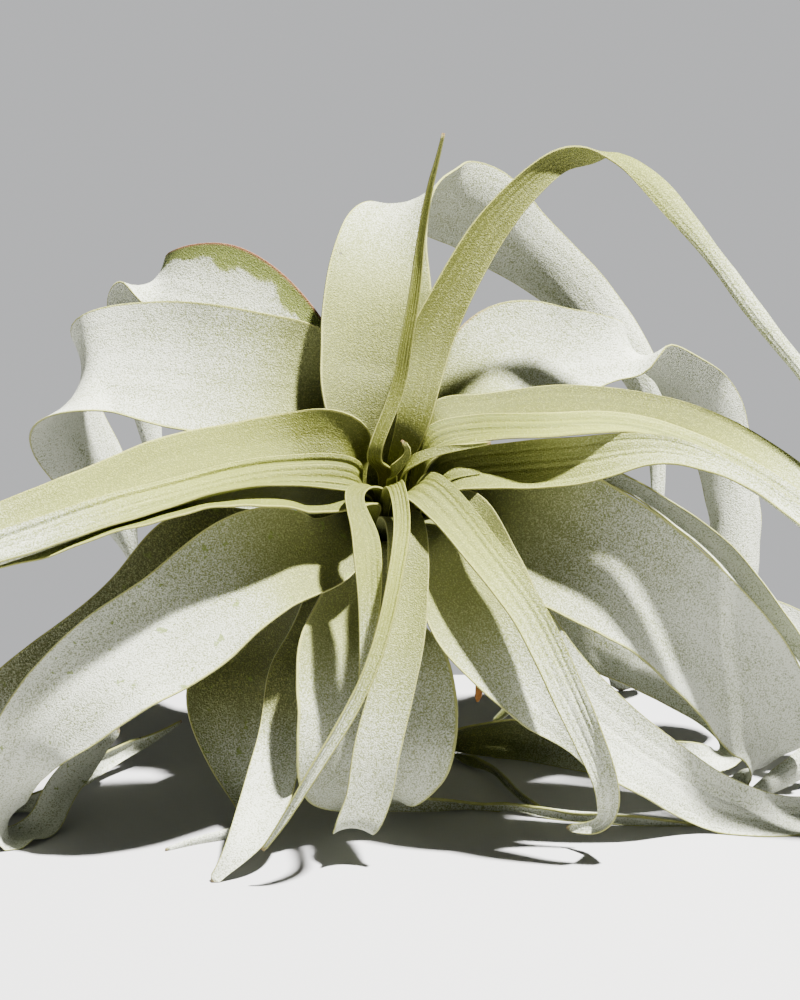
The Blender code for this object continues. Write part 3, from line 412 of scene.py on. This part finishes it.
def neighbours(inner, outer):
    """Height of outer's points over inner's nearest ones: v.N less the bend (kw vw^2 + kt vt^2) / 2."""
    a, b = inner["S"].reshape(-1, 3), outer["S"].reshape(-1, 3)
    lo, hi = np.maximum(inner["lo"], outer["lo"]) - REACH, np.minimum(inner["hi"], outer["hi"]) + REACH
    ia = np.flatnonzero(((a >= lo) & (a <= hi)).all(1))
    ib = np.flatnonzero(((b >= lo) & (b <= hi)).all(1))
    if not len(ia) or not len(ib):
        return None
    p, q = a[ia], b[ib]
    k = ((p**2).sum(1)[None] - 2 * q @ p.T).argmin(1)
    ok = ((q - p[k])**2).sum(1) < REACH**2
    ia, ib = ia[k[ok]], ib[ok]
    n, cols = inner["S"].shape[:2]
    v = b[ib] - a[ia]
    near = {key: inner[key].reshape(a.shape[0], -1)[ia] for key in ("N", "W", "T", "kw", "kt")}
    vn, vw, vt = ((v * near[key]).sum(1) for key in ("N", "W", "T"))
    h = vn - 0.5 * near["kw"][:, 0] * vw**2 - 0.5 * near["kt"][:, 0] * vt**2
    col, row = ia % cols, ia // cols
    off = np.where(col == 0, np.maximum(-vw, 0), np.where(col == cols - 1, np.maximum(vw, 0), 0))
    off = np.maximum(off, np.where(row == n - 1, np.maximum(vt, 0), 0))
    off = np.maximum(off, np.where(row == 0, np.maximum(-vt, 0), 0))
    return b[ib], ib // cols, h, off, near["N"]


print("a leaf feels its neighbours within", REACH, "mm")

# %% [markdown]
# ## Pushes
# Each round works out, for every row of every leaf, how much room it lacks from its neighbours
# and from the floor, and hands the push on to the control points. Inside the core a lower layer
# stays under the upper ones; farther out a leaf is pushed to whichever side it is on.

# %% Pushes of one round
PAST = 1.2                       # how far past a margin a neighbour still counts
MOST = 4.0                       # largest lack of room that one round makes good
YIELD, HOLD = 0.85, 0.15         # shares of a push that an outer and an inner leaf take
NUDGE = 0.35                     # share of a push that a control point follows in one round


def push(mine, others, layer):
    """Largest push each row gets: thickness + room - gap, shared between the two leaves."""
    move, size = np.zeros((len(mine["s"]), 3)), np.zeros(len(mine["s"]))
    for other, its_layer in others:
        near = neighbours(other, mine)
        if near is None:
            continue
        at, row, h, off, normal = near
        under = its_layer < layer
        sign = -1.0 if under else 1.0
        nested = np.linalg.norm(at - HEART, axis=1) < CORE
        gap = np.where(nested, sign * h, np.abs(h))
        lack = np.where((off > PAST) | (nested & (gap < -REACH)), 0, THICK + ROOM - gap)
        lack = np.clip(lack, 0, MOST) * np.where(nested, YIELD if under else HOLD, 0.5)
        way = np.where(nested, sign, np.sign(h))[:, None] * normal
        order = np.argsort(lack, kind="stable")
        order = order[lack[order] > 0.02]
        best, most = np.zeros(move.shape), np.zeros(size.shape)
        best[row[order]], most[row[order]] = (way * lack[:, None])[order], lack[order]
        more = most > size
        move[more], size[more] = best[more], most[more]
    low = -(mine["S"][..., 2] - mine["thick"] / 2 * np.abs(mine["N"][..., 2])).min(1)
    low = np.clip(low, 0, 5)
    move[low > size] = np.array([0, 0, 1.0]) * low[low > size][:, None]
    return move, np.maximum(size, low)


def shift_controls(points, marks, s, move, size):
    """Each control point takes the mean of its rows' pushes and their largest, by tent weights."""
    for c in range(1, len(marks)):
        lo, hi = marks[c - 1], marks[c + 1] if c + 1 < len(marks) else s[-1] + 1
        w = np.clip(np.where(s < marks[c], (s - lo) / max(marks[c] - lo, 1e-6),
                             (hi - s) / max(hi - marks[c], 1e-6)), 0, 1)
        e = w[:, None] * move
        k = np.linalg.norm(e, axis=1)
        if k.max() > 0:
            points[c] += NUDGE * (e[k.argmax()] + e.sum(0) / max(w[size > 0].sum(), 1e-6))


print("a round makes good up to", MOST, "mm")

# %% [markdown]
# ## Easing
# The rounds are run for all the leaves at once, and by the last of them little push is left.

# %% Ease the leaves apart
for _ in range(ROUNDS):
    sheets = {name: blade(LEAVES[name], shapes[name], COARSE_ROWS, COARSE) for name in LEAVES}
    for name, lf in LEAVES.items():
        others = [(sheets[o], LEAVES[o]["layer"]) for o in LEAVES if o != name]
        move, size = push(sheets[name], others, lf["layer"])
        shift_controls(shapes[name][0], sheets[name]["marks"], sheets[name]["s"], move, size)
print("eased over", ROUNDS, "rounds; push left on the last leaf %.2f mm" % size.max())

# %% [markdown]
# ## From sheet to leaf
# A fine leaf shows what the plain solid leaves out. Its blade waves a little, the narrow inner
# leaves are pleated lengthwise like folded paper, and the margin of one turns down. Random
# lengths and places, seeded by leaf, keep any two leaves from waving alike.

# %% Relief of a blade
WAVE, RIPPLE, BOW = 0.55, 0.2, 0.35  # heights of long and short margin waves, and of the middle's
FULL = 45.0                      # width of a blade from which the waves have their full height
GROOVE_DEPTH = 1.25              # of the deepest pleat in a fully pleated leaf
PLEATS = 4                       # folds across a blade


def relief(lf, g, u, seed):
    """Height = waves sin(2 pi s / length) u^2, less gaussian pleats at a few u and a turned margin."""
    rng = np.random.default_rng(seed)
    s, f = g["s"][:, None], (g["s"] / g["s"][-1])[:, None]
    fade = ease(f / 0.15) * ease((1 - f) / 0.15)
    size = np.clip(g["width"].max() / FULL, 0.2, 1.0)
    height = np.zeros((len(s), len(u)))
    for side in (-1, 1):
        p, q = rng.uniform(38, 62), rng.uniform(0, math.tau)
        out = np.clip(side * u, 0, 1)
        height += WAVE * size * np.sin(math.tau * s / p + q) * out**2
        height += RIPPLE * size * np.sin(math.tau * s / (p * 0.43) + 2 * q) * out**3
    height += BOW * size * np.sin(math.tau * s / rng.uniform(60, 90)) * (1 - u**2)
    for at in np.linspace(-0.62, 0.62, PLEATS) + rng.uniform(-0.07, 0.07, PLEATS):
        wander = at + 0.03 * np.sin(s / rng.uniform(30, 50) + at * 9)
        valley = np.exp(-(((u - wander) / rng.uniform(0.06, 0.11)) ** 2))
        height -= GROOVE_DEPTH * lf["pleats"] * rng.uniform(0.5, 1) * valley
    height -= lf["droop"] * ease((u - 0.6) / 0.4)
    return height * fade


print("pleated leaves:", [name for name, lf in LEAVES.items() if lf["pleats"] > PLAIN["pleats"]])

# %% [markdown]
# ## Both skins of a leaf
# The columns of the fine grid crowd towards the margin, because it is thin. Half the thickness
# to either side gives the upper and the lower skin. What lies on the floor is pressed flat, as
# in the packed solids.

# %% Fine blade
ROW = 2.6                        # millimetres between rows of the fine grid
PRESS, FLAT = 0.35, 0.7          # how far a resting leaf is pressed, what lies flat below this
SAG = 25.0                       # height over which a resting leaf still follows the press
FACING = 0.3                     # upward part of the normal from which a skin is the top one
LIFT = 0.3                       # clear height under a leaf that doesn't rest


def set_down(lf, z, facing):
    """Drop z by (lowest + press) near the floor, then flatten what faces down below FLAT."""
    if lf["rests"]:
        z = z - (z.min() + PRESS) * (1 - ease((z - z.min()) / SAG))
        z = np.where((z < FLAT) & (facing < FACING), 0.0, z)
        z = np.where(facing >= FACING, np.maximum(z, FLAT / 2), z)
    return np.maximum(z, 0.0 if lf["rests"] else LIFT)


def fine_blade(name, seed):
    """Both skins of a leaf: surface + normal (relief +- thickness / 2), columns at u = sin(v)."""
    lf = LEAVES[name]
    length = np.linalg.norm(np.diff(shapes[name][0], axis=0), axis=1).sum()
    wide = 2 * np.linalg.norm(shapes[name][1], axis=1).max()
    pleated = lf["pleats"] > PLAIN["pleats"]
    n, m = int(length / ROW) + 6, 64 if pleated else 34 if wide > 24 else 24
    u = np.sin(np.linspace(-math.pi / 2, math.pi / 2, m + 1))
    g = blade(lf, shapes[name], n, u, times=8)
    lift = relief(lf, g, u, seed)[..., None]
    half = g["N"] * g["thick"][..., None] / 2
    skins = [g["S"] + g["N"] * lift + half, g["S"] + g["N"] * lift - half]
    for skin, sign in zip(skins, (1, -1)):
        skin[..., 2] = set_down(lf, skin[..., 2], sign * g["N"][..., 2])
    return g, u, skins


g, u, skins = fine_blade("left_grooved", 1)
print("left_grooved grid: %d rows, %d columns" % skins[0].shape[:2])

# %% [markdown]
# ## Making the mesh
# The two skins share one ring of points in each row: the upper skin from left to right, then
# the lower skin back again. Quads join ring to ring, and each end is closed by a strip. The
# faces are worked out as whole arrays of indices. Where the sum of signed volumes is negative,
# the ring runs the other way round, and the faces are turned over. The woody base and the floor
# use the same grid of quads.

# %% Mesh helpers
def grid_quads(n, k, closed):
    """Quads (i, j) (i, j+1) (i+1, j+1) (i+1, j) of n rows of k points, each row a ring if closed."""
    i, j = np.meshgrid(np.arange(n - 1), np.arange(k if closed else k - 1), indexing="ij")
    after = (j + 1) % k
    return np.stack([i * k + j, i * k + after, (i + 1) * k + after, (i + 1) * k + j], -1).reshape(-1, 4)


def ring_faces(n, cols):
    """Quads between n rings of 2 cols points, and a strip that closes each end."""
    k, c = 2 * cols, np.arange(cols - 1)
    strip = np.stack([c, k - 1 - c, k - 2 - c, c + 1], -1)
    return np.concatenate([grid_quads(n, k, True), strip, strip[:, ::-1] + (n - 1) * k])


def signed_volume(verts, faces):
    """Sum over faces of a . (b x c) / 6, twice for a quad."""
    a, b, c, d = (verts[faces[:, k]] for k in range(4))
    return (np.einsum("ij,ij->i", a, np.cross(b, c)) + np.einsum("ij,ij->i", a, np.cross(c, d))).sum() / 6


def add_mesh(name, verts, faces):
    """Smooth mesh object at the origin from points in metres and lists of faces."""
    mesh = bpy.data.meshes.new(name)
    mesh.from_pydata(verts.tolist(), [], faces)
    mesh.polygons.foreach_set("use_smooth", np.ones(len(faces), bool))
    ob = bpy.data.objects.new(name, mesh)
    bpy.context.scene.collection.objects.link(ob)
    return ob


def add_uv(ob, across, along):
    """UV map in decimetres of real leaf: u across the blade, v along it, one value per corner."""
    layer = ob.data.uv_layers.new(name="blade")
    corner = np.empty(len(ob.data.loops), np.int32)
    ob.data.loops.foreach_get("vertex_index", corner)
    layer.data.foreach_set("uv", np.stack([across, along], -1)[corner].astype(np.float32).ravel())


def add_colour(ob, name, rgba):
    """Point colour attribute from an array of RGBA rows."""
    layer = ob.data.color_attributes.new(name, "FLOAT_COLOR", "POINT")
    layer.data.foreach_set("color", rgba.astype(np.float32).ravel())


print("faces of a 90 x 35 blade:", len(ring_faces(90, 35)))

# %% [markdown]
# ## Colour of a leaf
# The inner leaves are yellow-green and only lightly scaled. The outer ones turn silver on the
# way out, and are olive near the base, where scales are few; that olive is partly the base's own
# colour and partly painted shade of the heart. Margins are thin, and let a pale yellow edge show;
# the very tip is dry and brown. Each point of a leaf gets its ground colour from how far it lies
# from the axis and from the margin. Leaves that lie under others get a darker olive for a longer
# way, partly their own duller colour and partly painted shade, and two have a bruised, rusty rim.
# A second attribute says how thick the silver scales are, how pleated the skin is and how worn.

# %% Tints of the blades
GREY_GREEN, YELLOW_GREEN = np.array([0.125, 0.145, 0.062]), np.array([0.135, 0.15, 0.010])
OLIVE_SHADE, BRUISE = np.array([0.05, 0.055, 0.006]), np.array([0.078, 0.098, 0.007])
PALE_EDGE, DRY = np.array([0.34, 0.34, 0.09]), np.array([0.13, 0.07, 0.035])
RUST, ORANGE = np.array([0.15, 0.055, 0.02]), np.array([0.40, 0.14, 0.025])


def mix(a, b, t):
    """a + (b - a) t for colours, with t one value per point."""
    return a + (b - a) * t[..., None]


def leaf_tint(name, g, u, lower):
    """Ground colour and scale cover of one skin, from length s, distance rho from the axis and u."""
    lf, s = LEAVES[name], np.broadcast_to(g["s"][:, None], g["S"].shape[:2])
    rho = np.broadcast_to(g["rho"][:, None], s.shape)
    uu, f = np.broadcast_to(u[None, :], s.shape), s / s[-1]
    near, out = 1 - ease((rho - 15) / 70), ease((rho - 25) / 125)
    # Darker olive with fewer scales over the base half: partly the leaf's own duller colour, partly
    # painted shade.
    dull = np.clip(lf["dull"] * (1 - ease((f - 0.3) / 0.4)), 0, 0.9)
    scaled = lf["scales"] + 0.7 * (PLAIN["scales"] - lf["scales"]) * ease((f - 0.45) / 0.4)
    cover = np.clip(scaled * (0.34 + 0.66 * out), 0, 1)
    colour = mix(YELLOW_GREEN, GREY_GREEN, cover)
    # Olive towards the base: partly the base's own colour, partly painted shade of the heart; the dull
    # leaves get it further out.
    colour = mix(colour, OLIVE_SHADE, np.maximum(near * (0.6 if lower else 0.85), dull))
    edge = ease((np.abs(uu) - 0.96) / 0.03)
    colour = mix(colour, PALE_EDGE, edge * 0.6)
    if lf["rim"]:
        side, start, end, wide = lf["rim"]
        band = ease((f - start) / 0.06) * ease((end - f) / 0.06)
        inner = 1 - wide * (1 + 0.35 * np.sin(s / 3.1) * np.sin(s / 7.7))
        bruise = ease((side * uu - inner) / 0.06) * band
        colour = mix(colour, BRUISE, bruise * 0.9)
        colour = mix(colour, RUST, ease((side * uu - 0.95) / 0.03) * band)
        cover = cover * (1 - 0.97 * bruise)
    dry = ease((s - s[-1] + (14 if name == "orange_tip" else 2.5)) / 2.5)
    colour = mix(colour, ORANGE if name == "orange_tip" else DRY, dry * 0.9)
    scales = cover * (1 - 0.65 * near) * (1 - 0.6 * dull) * (1 - 0.75 * edge) * (1 - dry)
    look = np.stack([np.clip(scales, 0, 1), np.full(f.shape, lf["pleats"]), np.full(f.shape, lf["worn"]),
                     np.ones(f.shape)], -1)
    return np.concatenate([colour, np.ones(f.shape + (1,))], -1), look


tint, look = leaf_tint("left_grooved", g, u, False)
print("left_grooved mean colour:", np.round(tint.reshape(-1, 4).mean(0)[:3], 2))

# %% [markdown]
# ## Shader sums as Python sums
# Long node chains are hard to read. A small class stands for a socket and knows the sum
# operators, so a formula in Python lays out its own Math nodes.

# %% Sockets with operators
class Wire:
    """A socket of a material's node tree that can be added, subtracted and multiplied."""

    def __init__(self, skin, socket):
        self.skin, self.socket = skin, socket

    def maths(self, operation, a, b):
        """Makes a Math node of two wires or numbers."""
        return self.skin.node("Math", {"operation": operation}, {0: a, 1: b})

    def __add__(self, other):
        return self.maths("ADD", self, other)

    def __sub__(self, other):
        return self.maths("SUBTRACT", self, other)

    def __rsub__(self, other):
        return self.maths("SUBTRACT", other, self)

    def __mul__(self, other):
        return self.maths("MULTIPLY", self, other)

    __radd__, __rmul__ = __add__, __mul__


print("a wire knows:", [name for name in vars(Wire) if name.endswith(("add__", "sub__", "mul__"))])

# %% [markdown]
# ## One class for every finish
# A skin holds a Principled shader. It makes the nodes that lead to it, and sets what is constant
# on the shader's own sockets.

# %% Materials
class Skin:
    """One material: a Principled shader and the nodes that lead to it."""

    def __init__(self, name):
        self.material = bpy.data.materials.new(name)
        self.material.use_nodes = True
        self.tree = self.material.node_tree
        self.shader = self.tree.nodes["Principled BSDF"]

    def node(self, kind, settings=None, inputs=None, out=0):
        """Makes a node, sets its settings and then its inputs, and returns one output."""
        made = self.tree.nodes.new("ShaderNode" + kind)
        for key, value in (settings or {}).items():
            setattr(made, key, value)
        for key, value in (inputs or {}).items():
            self.put(made.inputs[key], value)
        return Wire(self, made.outputs[out])

    def put(self, socket, value):
        """Links a wire to a socket, or sets the socket's own value."""
        if isinstance(value, Wire):
            self.tree.links.new(value.socket, socket)
        else:
            socket.default_value = value

    def blend(self, a, b, amount):
        """Colour a where amount is 0 and b where it is 1."""
        return self.node("Mix", {"data_type": "RGBA"}, {"Factor": amount, 6: a, 7: b}, out=2)

    def step(self, value, low, high):
        """Smooth step of a value from 0 at low to 1 at high."""
        return self.node("MapRange", {"interpolation_type": "SMOOTHSTEP"},
                         {"Value": value, "From Min": low, "From Max": high})

    def noise(self, where, scale, detail=2.0, rough=0.5):
        """Fractal noise between 0 and 1."""
        return self.node("TexNoise", None, {"Vector": where, "Scale": scale, "Detail": detail,
                                            "Roughness": rough})

    def finish(self, **constants):
        """Sets the shader's constant sockets and returns the material."""
        for key, value in constants.items():
            self.shader.inputs[key.replace("_", " ")].default_value = value
        return self.material


print("a skin knows:", [name for name in vars(Skin) if name[0] != "_"])

# %% [markdown]
# ## Silver scales
# The silver of this plant is a coat of tiny water-drinking scales, each under a millimetre.
# From a step away they read as a fine frosting, thin where the leaf was rubbed. The frosting is
# one fine noise on object coordinates: where it rises above a threshold there is a scale, and
# the threshold falls as the cover of the leaf grows. Along the blade run pleats and faint veins,
# and the cover drifts, all from noise whose scale on the UV map is large across the leaf and
# small along it. The valleys of the pleats are painted darker olive with fewer scales, as painted
# shade.

# %% Leaf skin
SILVER, STRAW, FLECK = (0.47, 0.49, 0.41, 1.0), (0.36, 0.375, 0.095, 1.0), (0.27, 0.285, 0.06, 1.0)
GROOVE_SHADE, SCUFF, SPECK = (0.07, 0.085, 0.012, 1.0), (0.11, 0.15, 0.015, 1.0), (0.04, 0.035, 0.02, 1.0)
FOLDS, VEINS, DRIFTS = (27.0, 0.40, 1.0), (120.0, 1.2, 1.0), (8.0, 0.9, 1.0)  # across, along


def leaf_skin(name, gloss, sheen):
    """Ground tint with painted shade in its grooves, pale veins, frosting of scales, green scuffs and dark
    specks.
    """
    s = Skin(name)
    place = s.node("TexCoord", out=3)
    blade_uv = s.node("UVMap", {"uv_map": "blade"})
    tint = s.node("Attribute", {"attribute_name": "tint"})
    look = s.node("SeparateColor", None, {0: s.node("Attribute", {"attribute_name": "look"})})
    pleat, worn = Wire(s, look.socket.node.outputs[1]), Wire(s, look.socket.node.outputs[2])
    drawn, fine, long = (s.node("Mapping", None, {"Vector": blade_uv, "Scale": stretch})
                         for stretch in (FOLDS, VEINS, DRIFTS))
    fold, vein, drift = s.noise(drawn, 1.0, 1.0), s.noise(fine, 1.0, 1.0), s.noise(long, 1.0, 2.0)
    cloud, grain = s.noise(place, 38.0, 2.0), s.noise(place, 1500.0, 2.0, 0.7)
    # Painted shade: the fold valleys turn dark olive here, and lose some scales two lines below.
    ground = s.blend(tint, GROOVE_SHADE, s.step(fold, 0.52, 0.74) * (0.04 + 0.56 * pleat))
    ground = s.blend(ground, FLECK, s.step(vein, 0.55, 0.72) * pleat * 0.5)
    cover = look * (0.10 + 0.68 * cloud + 1.10 * drift) - 0.25 * pleat * s.step(fold, 0.46, 0.66)
    frost = s.step(grain + 0.25 * cover, 0.50, 0.82)
    scale = s.blend(STRAW, SILVER, s.step(look, 0.20, 0.62))
    colour = s.blend(ground, scale, frost * (0.45 + 0.53 * look))
    scuff = s.step(s.noise(place, 170.0, 3.0, 0.6), 0.655, 0.69) * worn
    colour = s.blend(colour, SCUFF, scuff * 0.8)
    colour = s.blend(colour, SPECK, s.step(s.noise(place, 330.0, 1.0), 0.80, 0.82) * 0.8)
    s.put(s.shader.inputs["Base Color"], colour)
    s.put(s.shader.inputs["Roughness"], 0.48 + 0.22 * frost)
    height = grain * 1.6 - fold * (0.3 + 2.4 * pleat) + vein * (0.1 + 0.4 * pleat)
    s.put(s.shader.inputs["Normal"], s.node("Bump", None, {"Strength": 0.8, "Distance": 0.0005,
                                                           "Height": height}))
    return s.finish(Specular_IOR_Level=gloss, Sheen_Weight=sheen, Sheen_Roughness=0.5)


silver_skin = leaf_skin("silver leaf skin", 0.3, 0.1)
green_skin = leaf_skin("green leaf skin", 0.2, 0.0)
print("nodes in a leaf skin:", len(silver_skin.node_tree.nodes))

# %% [markdown]
# ## Placing the plant
# The packed model stands on the bottom centre of its own box, while the table is set out round
# the heart. The woody base is the same cone in both, so the step between the two is read from
# its packed node: the middle of that node's box less the middle of the cone's box.

# %% Woody base
BASE_GAP, BASE_SIDES = 0.3, 24   # woody base to the sheaths round it, sides of its packed cone
BASE_TOP, WIDEST, BASE_TO = 16.0, 67.0, 73.0    # depths of the first, the widest and the last ring
DENTED = 66.0                    # depth from which the base is uneven


def base_points(d, sides, notches=None):
    """Rings of radius sheath radius - blade - gap round the axis, drawn in and uneven at the end,
    and one more point past either end."""
    r = SHEATH_R + SHEATH_STEP * (d - SHEATH_D) / SHEATH_DROP - THICK / 2 - BASE_GAP
    last = r[d <= WIDEST][-1]
    r = np.where(d > WIDEST, np.interp(d, [WIDEST, BASE_TO - 2, BASE_TO], [last, last - 1.5, last - 6]), r)
    a = np.arange(sides) * 2 * math.pi / sides
    uneven = 0.06 * (1 + np.sin(5 * a + 1.0) * np.cos(2 * a))
    rough = 1 - np.clip((d - DENTED) / (BASE_TO - DENTED), 0, 1)[:, None] * uneven
    if notches:
        rough = rough - notches(d[:, None], a)
    ring = SIDE * np.cos(a)[:, None] + BACK * np.sin(a)[:, None]
    rings = HEART - AXIS * d[:, None, None] + ring * (r[:, None] * rough)[..., None]
    ends = [HEART - AXIS * (BASE_TOP - 0.6), HEART - AXIS * (BASE_TO + 0.8)]
    return np.concatenate([rings.reshape(-1, 3), ends])


plain = base_points(np.array([BASE_TOP, 24, 34, 44, 54, 62, WIDEST, BASE_TO - 2, BASE_TO]), BASE_SIDES)
low, high = (np.array(corner) * 1000 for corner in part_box("caudex"))
STEP = (low + high) / 2 - (plain.min(0) + plain.max(0)) / 2
print("step from the table to the packed model:", np.round(STEP, 3), "mm")

# %% [markdown]
# ## Bark of the base
# The base is a stub of old leaf scars: rings of shallow notches with dry fibre between them.
# The cone is made again with finer rings, whose radius drops in a regular pattern of scars, and
# two sizes of noise break up the brown.

# %% Bark and base
def scars(d, a):
    """Depth of the notches: 0.02 of the radius where waves round and along the stem meet."""
    return 0.02 * (1 + np.sin(7 * a + 0.9 * d) * np.sin(1.4 * d)) / 2


def bark():
    """Brown Principled material with two sizes of noise in its colour and its bump."""
    s = Skin("woody base bark")
    place = s.node("TexCoord", out=3)
    coarse, fine = s.noise(place, 160.0, 3.0), s.noise(place, 700.0, 3.0)
    brown = s.blend((0.06, 0.03, 0.015, 1.0), (0.30, 0.19, 0.10, 1.0), coarse * 0.6 + fine * 0.4)
    s.put(s.shader.inputs["Base Color"], brown)
    s.put(s.shader.inputs["Normal"], s.node("Bump", None, {"Strength": 0.8, "Distance": 0.001,
                                                           "Height": coarse + fine * 0.5}))
    return s.finish(Roughness=0.85)


def woody_base():
    """Closed cone: one quad ring per step, an upper and a lower point closing it by triangles."""
    d = np.concatenate([np.linspace(BASE_TOP, WIDEST, 60), np.linspace(68, BASE_TO - 2, 5), [BASE_TO]])
    n, k = len(d), BASE_SIDES * 3
    fan = np.arange(k)
    top = np.stack([np.full(k, n * k), fan, (fan + 1) % k], -1)
    end = np.stack([np.full(k, n * k + 1), (n - 1) * k + (fan + 1) % k, (n - 1) * k + fan], -1)
    quads = grid_quads(n, k, True)[:, [0, 3, 2, 1]]
    ob = add_mesh("woody_base", (base_points(d, k, scars) + STEP) / 1000,
                  quads.tolist() + top.tolist() + end.tolist())
    ob.data.materials.append(bark())
    return ob


base = woody_base()
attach(base, "root")
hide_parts("caudex")
print("woody base faces:", len(base.data.polygons))

# %% [markdown]
# ## All the leaves
# Every leaf is made by the same steps: fine blade, mesh, UV map, tints, skin. Each one stands for
# the packed node of the same name.

# %% Make the leaves
def ring(upper, lower):
    """Values of both skins in the order of the rings: the upper ones, then the lower ones back."""
    both = np.concatenate([upper, lower[:, ::-1]], 1)
    return both.reshape(both.shape[0] * both.shape[1], -1)


def make_leaf(name, seed):
    """Builds one leaf from its fine blade, with its faces outwards, and dresses it."""
    g, u, skins = fine_blade(name, seed)
    n, cols = skins[0].shape[:2]
    verts, faces = ring(*skins) + STEP, ring_faces(n, cols)
    if signed_volume(verts, faces) < 0:
        faces = faces[:, ::-1]
    ob = add_mesh(name + "_fine", verts / 1000, faces.tolist())
    along = np.broadcast_to(g["s"][:, None] / 100, (n, cols))
    across = np.broadcast_to(u[None, :] * g["width"].max() / 200, along.shape)
    add_uv(ob, ring(across, across + 3.0)[:, 0], ring(along, along)[:, 0])
    tints = [leaf_tint(name, g, u, lower) for lower in (False, True)]
    add_colour(ob, "tint", ring(tints[0][0], tints[1][0]))
    add_colour(ob, "look", ring(tints[0][1], tints[1][1]))
    green = LEAVES[name]["skin"] == "green_leaf"
    ob.data.materials.append(green_skin if green else silver_skin)
    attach(ob, "root")
    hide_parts(name)
    return ob


leaves = [make_leaf(name, seed) for seed, name in enumerate(LEAVES)]
print("leaf faces:", sum(len(ob.data.polygons) for ob in leaves))

# %% [markdown]
# ## Floor
# The plant lies on a pale floor whose back edge is rounded over a little way behind it, with an
# even grey beyond.

# %% Floor
FLOOR_BACK, FLOOR_EDGE = 0.14, 0.02      # where the flat ends, radius of its rounded edge
REACHES = 1.6                    # how far it reaches to the front and the sides, metres


def pale_floor():
    """Profile: flat floor, quarter arc y = y0 + r sin a, z = -r (1 - cos a), then straight down."""
    arc = np.linspace(0, math.pi / 2, 16)
    y = np.concatenate([np.linspace(-REACHES, FLOOR_BACK, 12), FLOOR_BACK + FLOOR_EDGE * np.sin(arc[1:]),
                        [FLOOR_BACK + FLOOR_EDGE] * 3])
    z = np.concatenate([np.zeros(12), -FLOOR_EDGE * (1 - np.cos(arc[1:])), [-0.1, -0.2, -0.4]])
    x = np.linspace(-REACHES, REACHES, 9)
    n, k = len(y), len(x)
    verts = np.stack([np.tile(x, n), np.repeat(y, k), np.repeat(z, k)], -1)
    return add_mesh("pale_floor", verts, grid_quads(n, k, False).tolist())


floor = pale_floor()
paper = Skin("pale floor")
paper.put(paper.shader.inputs["Base Color"], (0.335, 0.335, 0.34, 1.0))
floor.data.materials.append(paper.finish(Roughness=0.9, Specular_IOR_Level=0.1))
print("floor faces:", len(floor.data.polygons))

# %% [markdown]
# ## Light
# A lamp high above, to the right and a little in front, gives the clear shadows of a bright
# table by a window, and a grey world, brighter below, fills them.

# %% Key lamp and world
KEY_PLACE = np.array([0.67, -0.31, 2.02])    # from the heart, metres
KEY_SIZE, KEY_WATTS, KEY_COLOUR = 0.11, 650.0, (1.0, 0.985, 0.95)
GROUND, SKY = 0.62, 0.08         # brightness of the world below the horizon and overhead


def key_lamp():
    """Square area lamp that looks at the heart of the rosette."""
    data = bpy.data.lights.new("key", "AREA")
    data.size, data.energy, data.color = KEY_SIZE, KEY_WATTS, KEY_COLOUR
    ob = bpy.data.objects.new("key", data)
    ob.location = (HEART + STEP) / 1000 + KEY_PLACE
    way = -KEY_PLACE
    ob.rotation_euler = (math.atan2(math.hypot(way[0], way[1]), -way[2]), 0,
                         math.atan2(way[0], -way[1]) + math.pi)
    bpy.context.scene.collection.objects.link(ob)
    return ob


def grey_world():
    """Strength by height z of the direction: GROUND below the horizon, SKY above, eased between."""
    made = bpy.data.worlds.new("grey world")
    made.use_nodes = True
    tree = made.node_tree
    where, split = tree.nodes.new("ShaderNodeTexCoord"), tree.nodes.new("ShaderNodeSeparateXYZ")
    height = tree.nodes.new("ShaderNodeMapRange")
    height.interpolation_type = "SMOOTHSTEP"
    for key, value in {"From Min": -0.02, "From Max": 0.25, "To Min": GROUND, "To Max": SKY}.items():
        height.inputs[key].default_value = value
    shine = tree.nodes["Background"]
    shine.inputs["Color"].default_value = (0.97, 0.98, 1.0, 1.0)
    tree.links.new(where.outputs["Generated"], split.inputs[0])
    tree.links.new(split.outputs["Z"], height.inputs["Value"])
    tree.links.new(height.outputs[0], shine.inputs["Strength"])
    return made


key = key_lamp()
bpy.context.scene.world = grey_world()
print("key lamp at", np.round(key.location, 2), "m")

# %% [markdown]
# ## Camera
# The camera stands at the eye of the drawing sheet and sees just the sheet: its lens is to its
# film as the eye's distance is to the height of the sheet.

# %% Camera
FILM = 36.0                      # height of the camera's sensor, millimetres
camera_data = bpy.data.cameras.new("camera")
camera_data.sensor_fit, camera_data.sensor_height = "VERTICAL", FILM
camera_data.lens = FILM * EYE / (SHEET_HIGH / SHEET)
camera = bpy.data.objects.new("camera", camera_data)
camera.location = (EYE_AT + STEP) / 1000
camera.rotation_euler = (math.radians(90 - LEAN), 0, 0)
bpy.context.scene.collection.objects.link(camera)
bpy.context.scene.camera = camera
print("camera lens %.1f mm" % camera_data.lens)
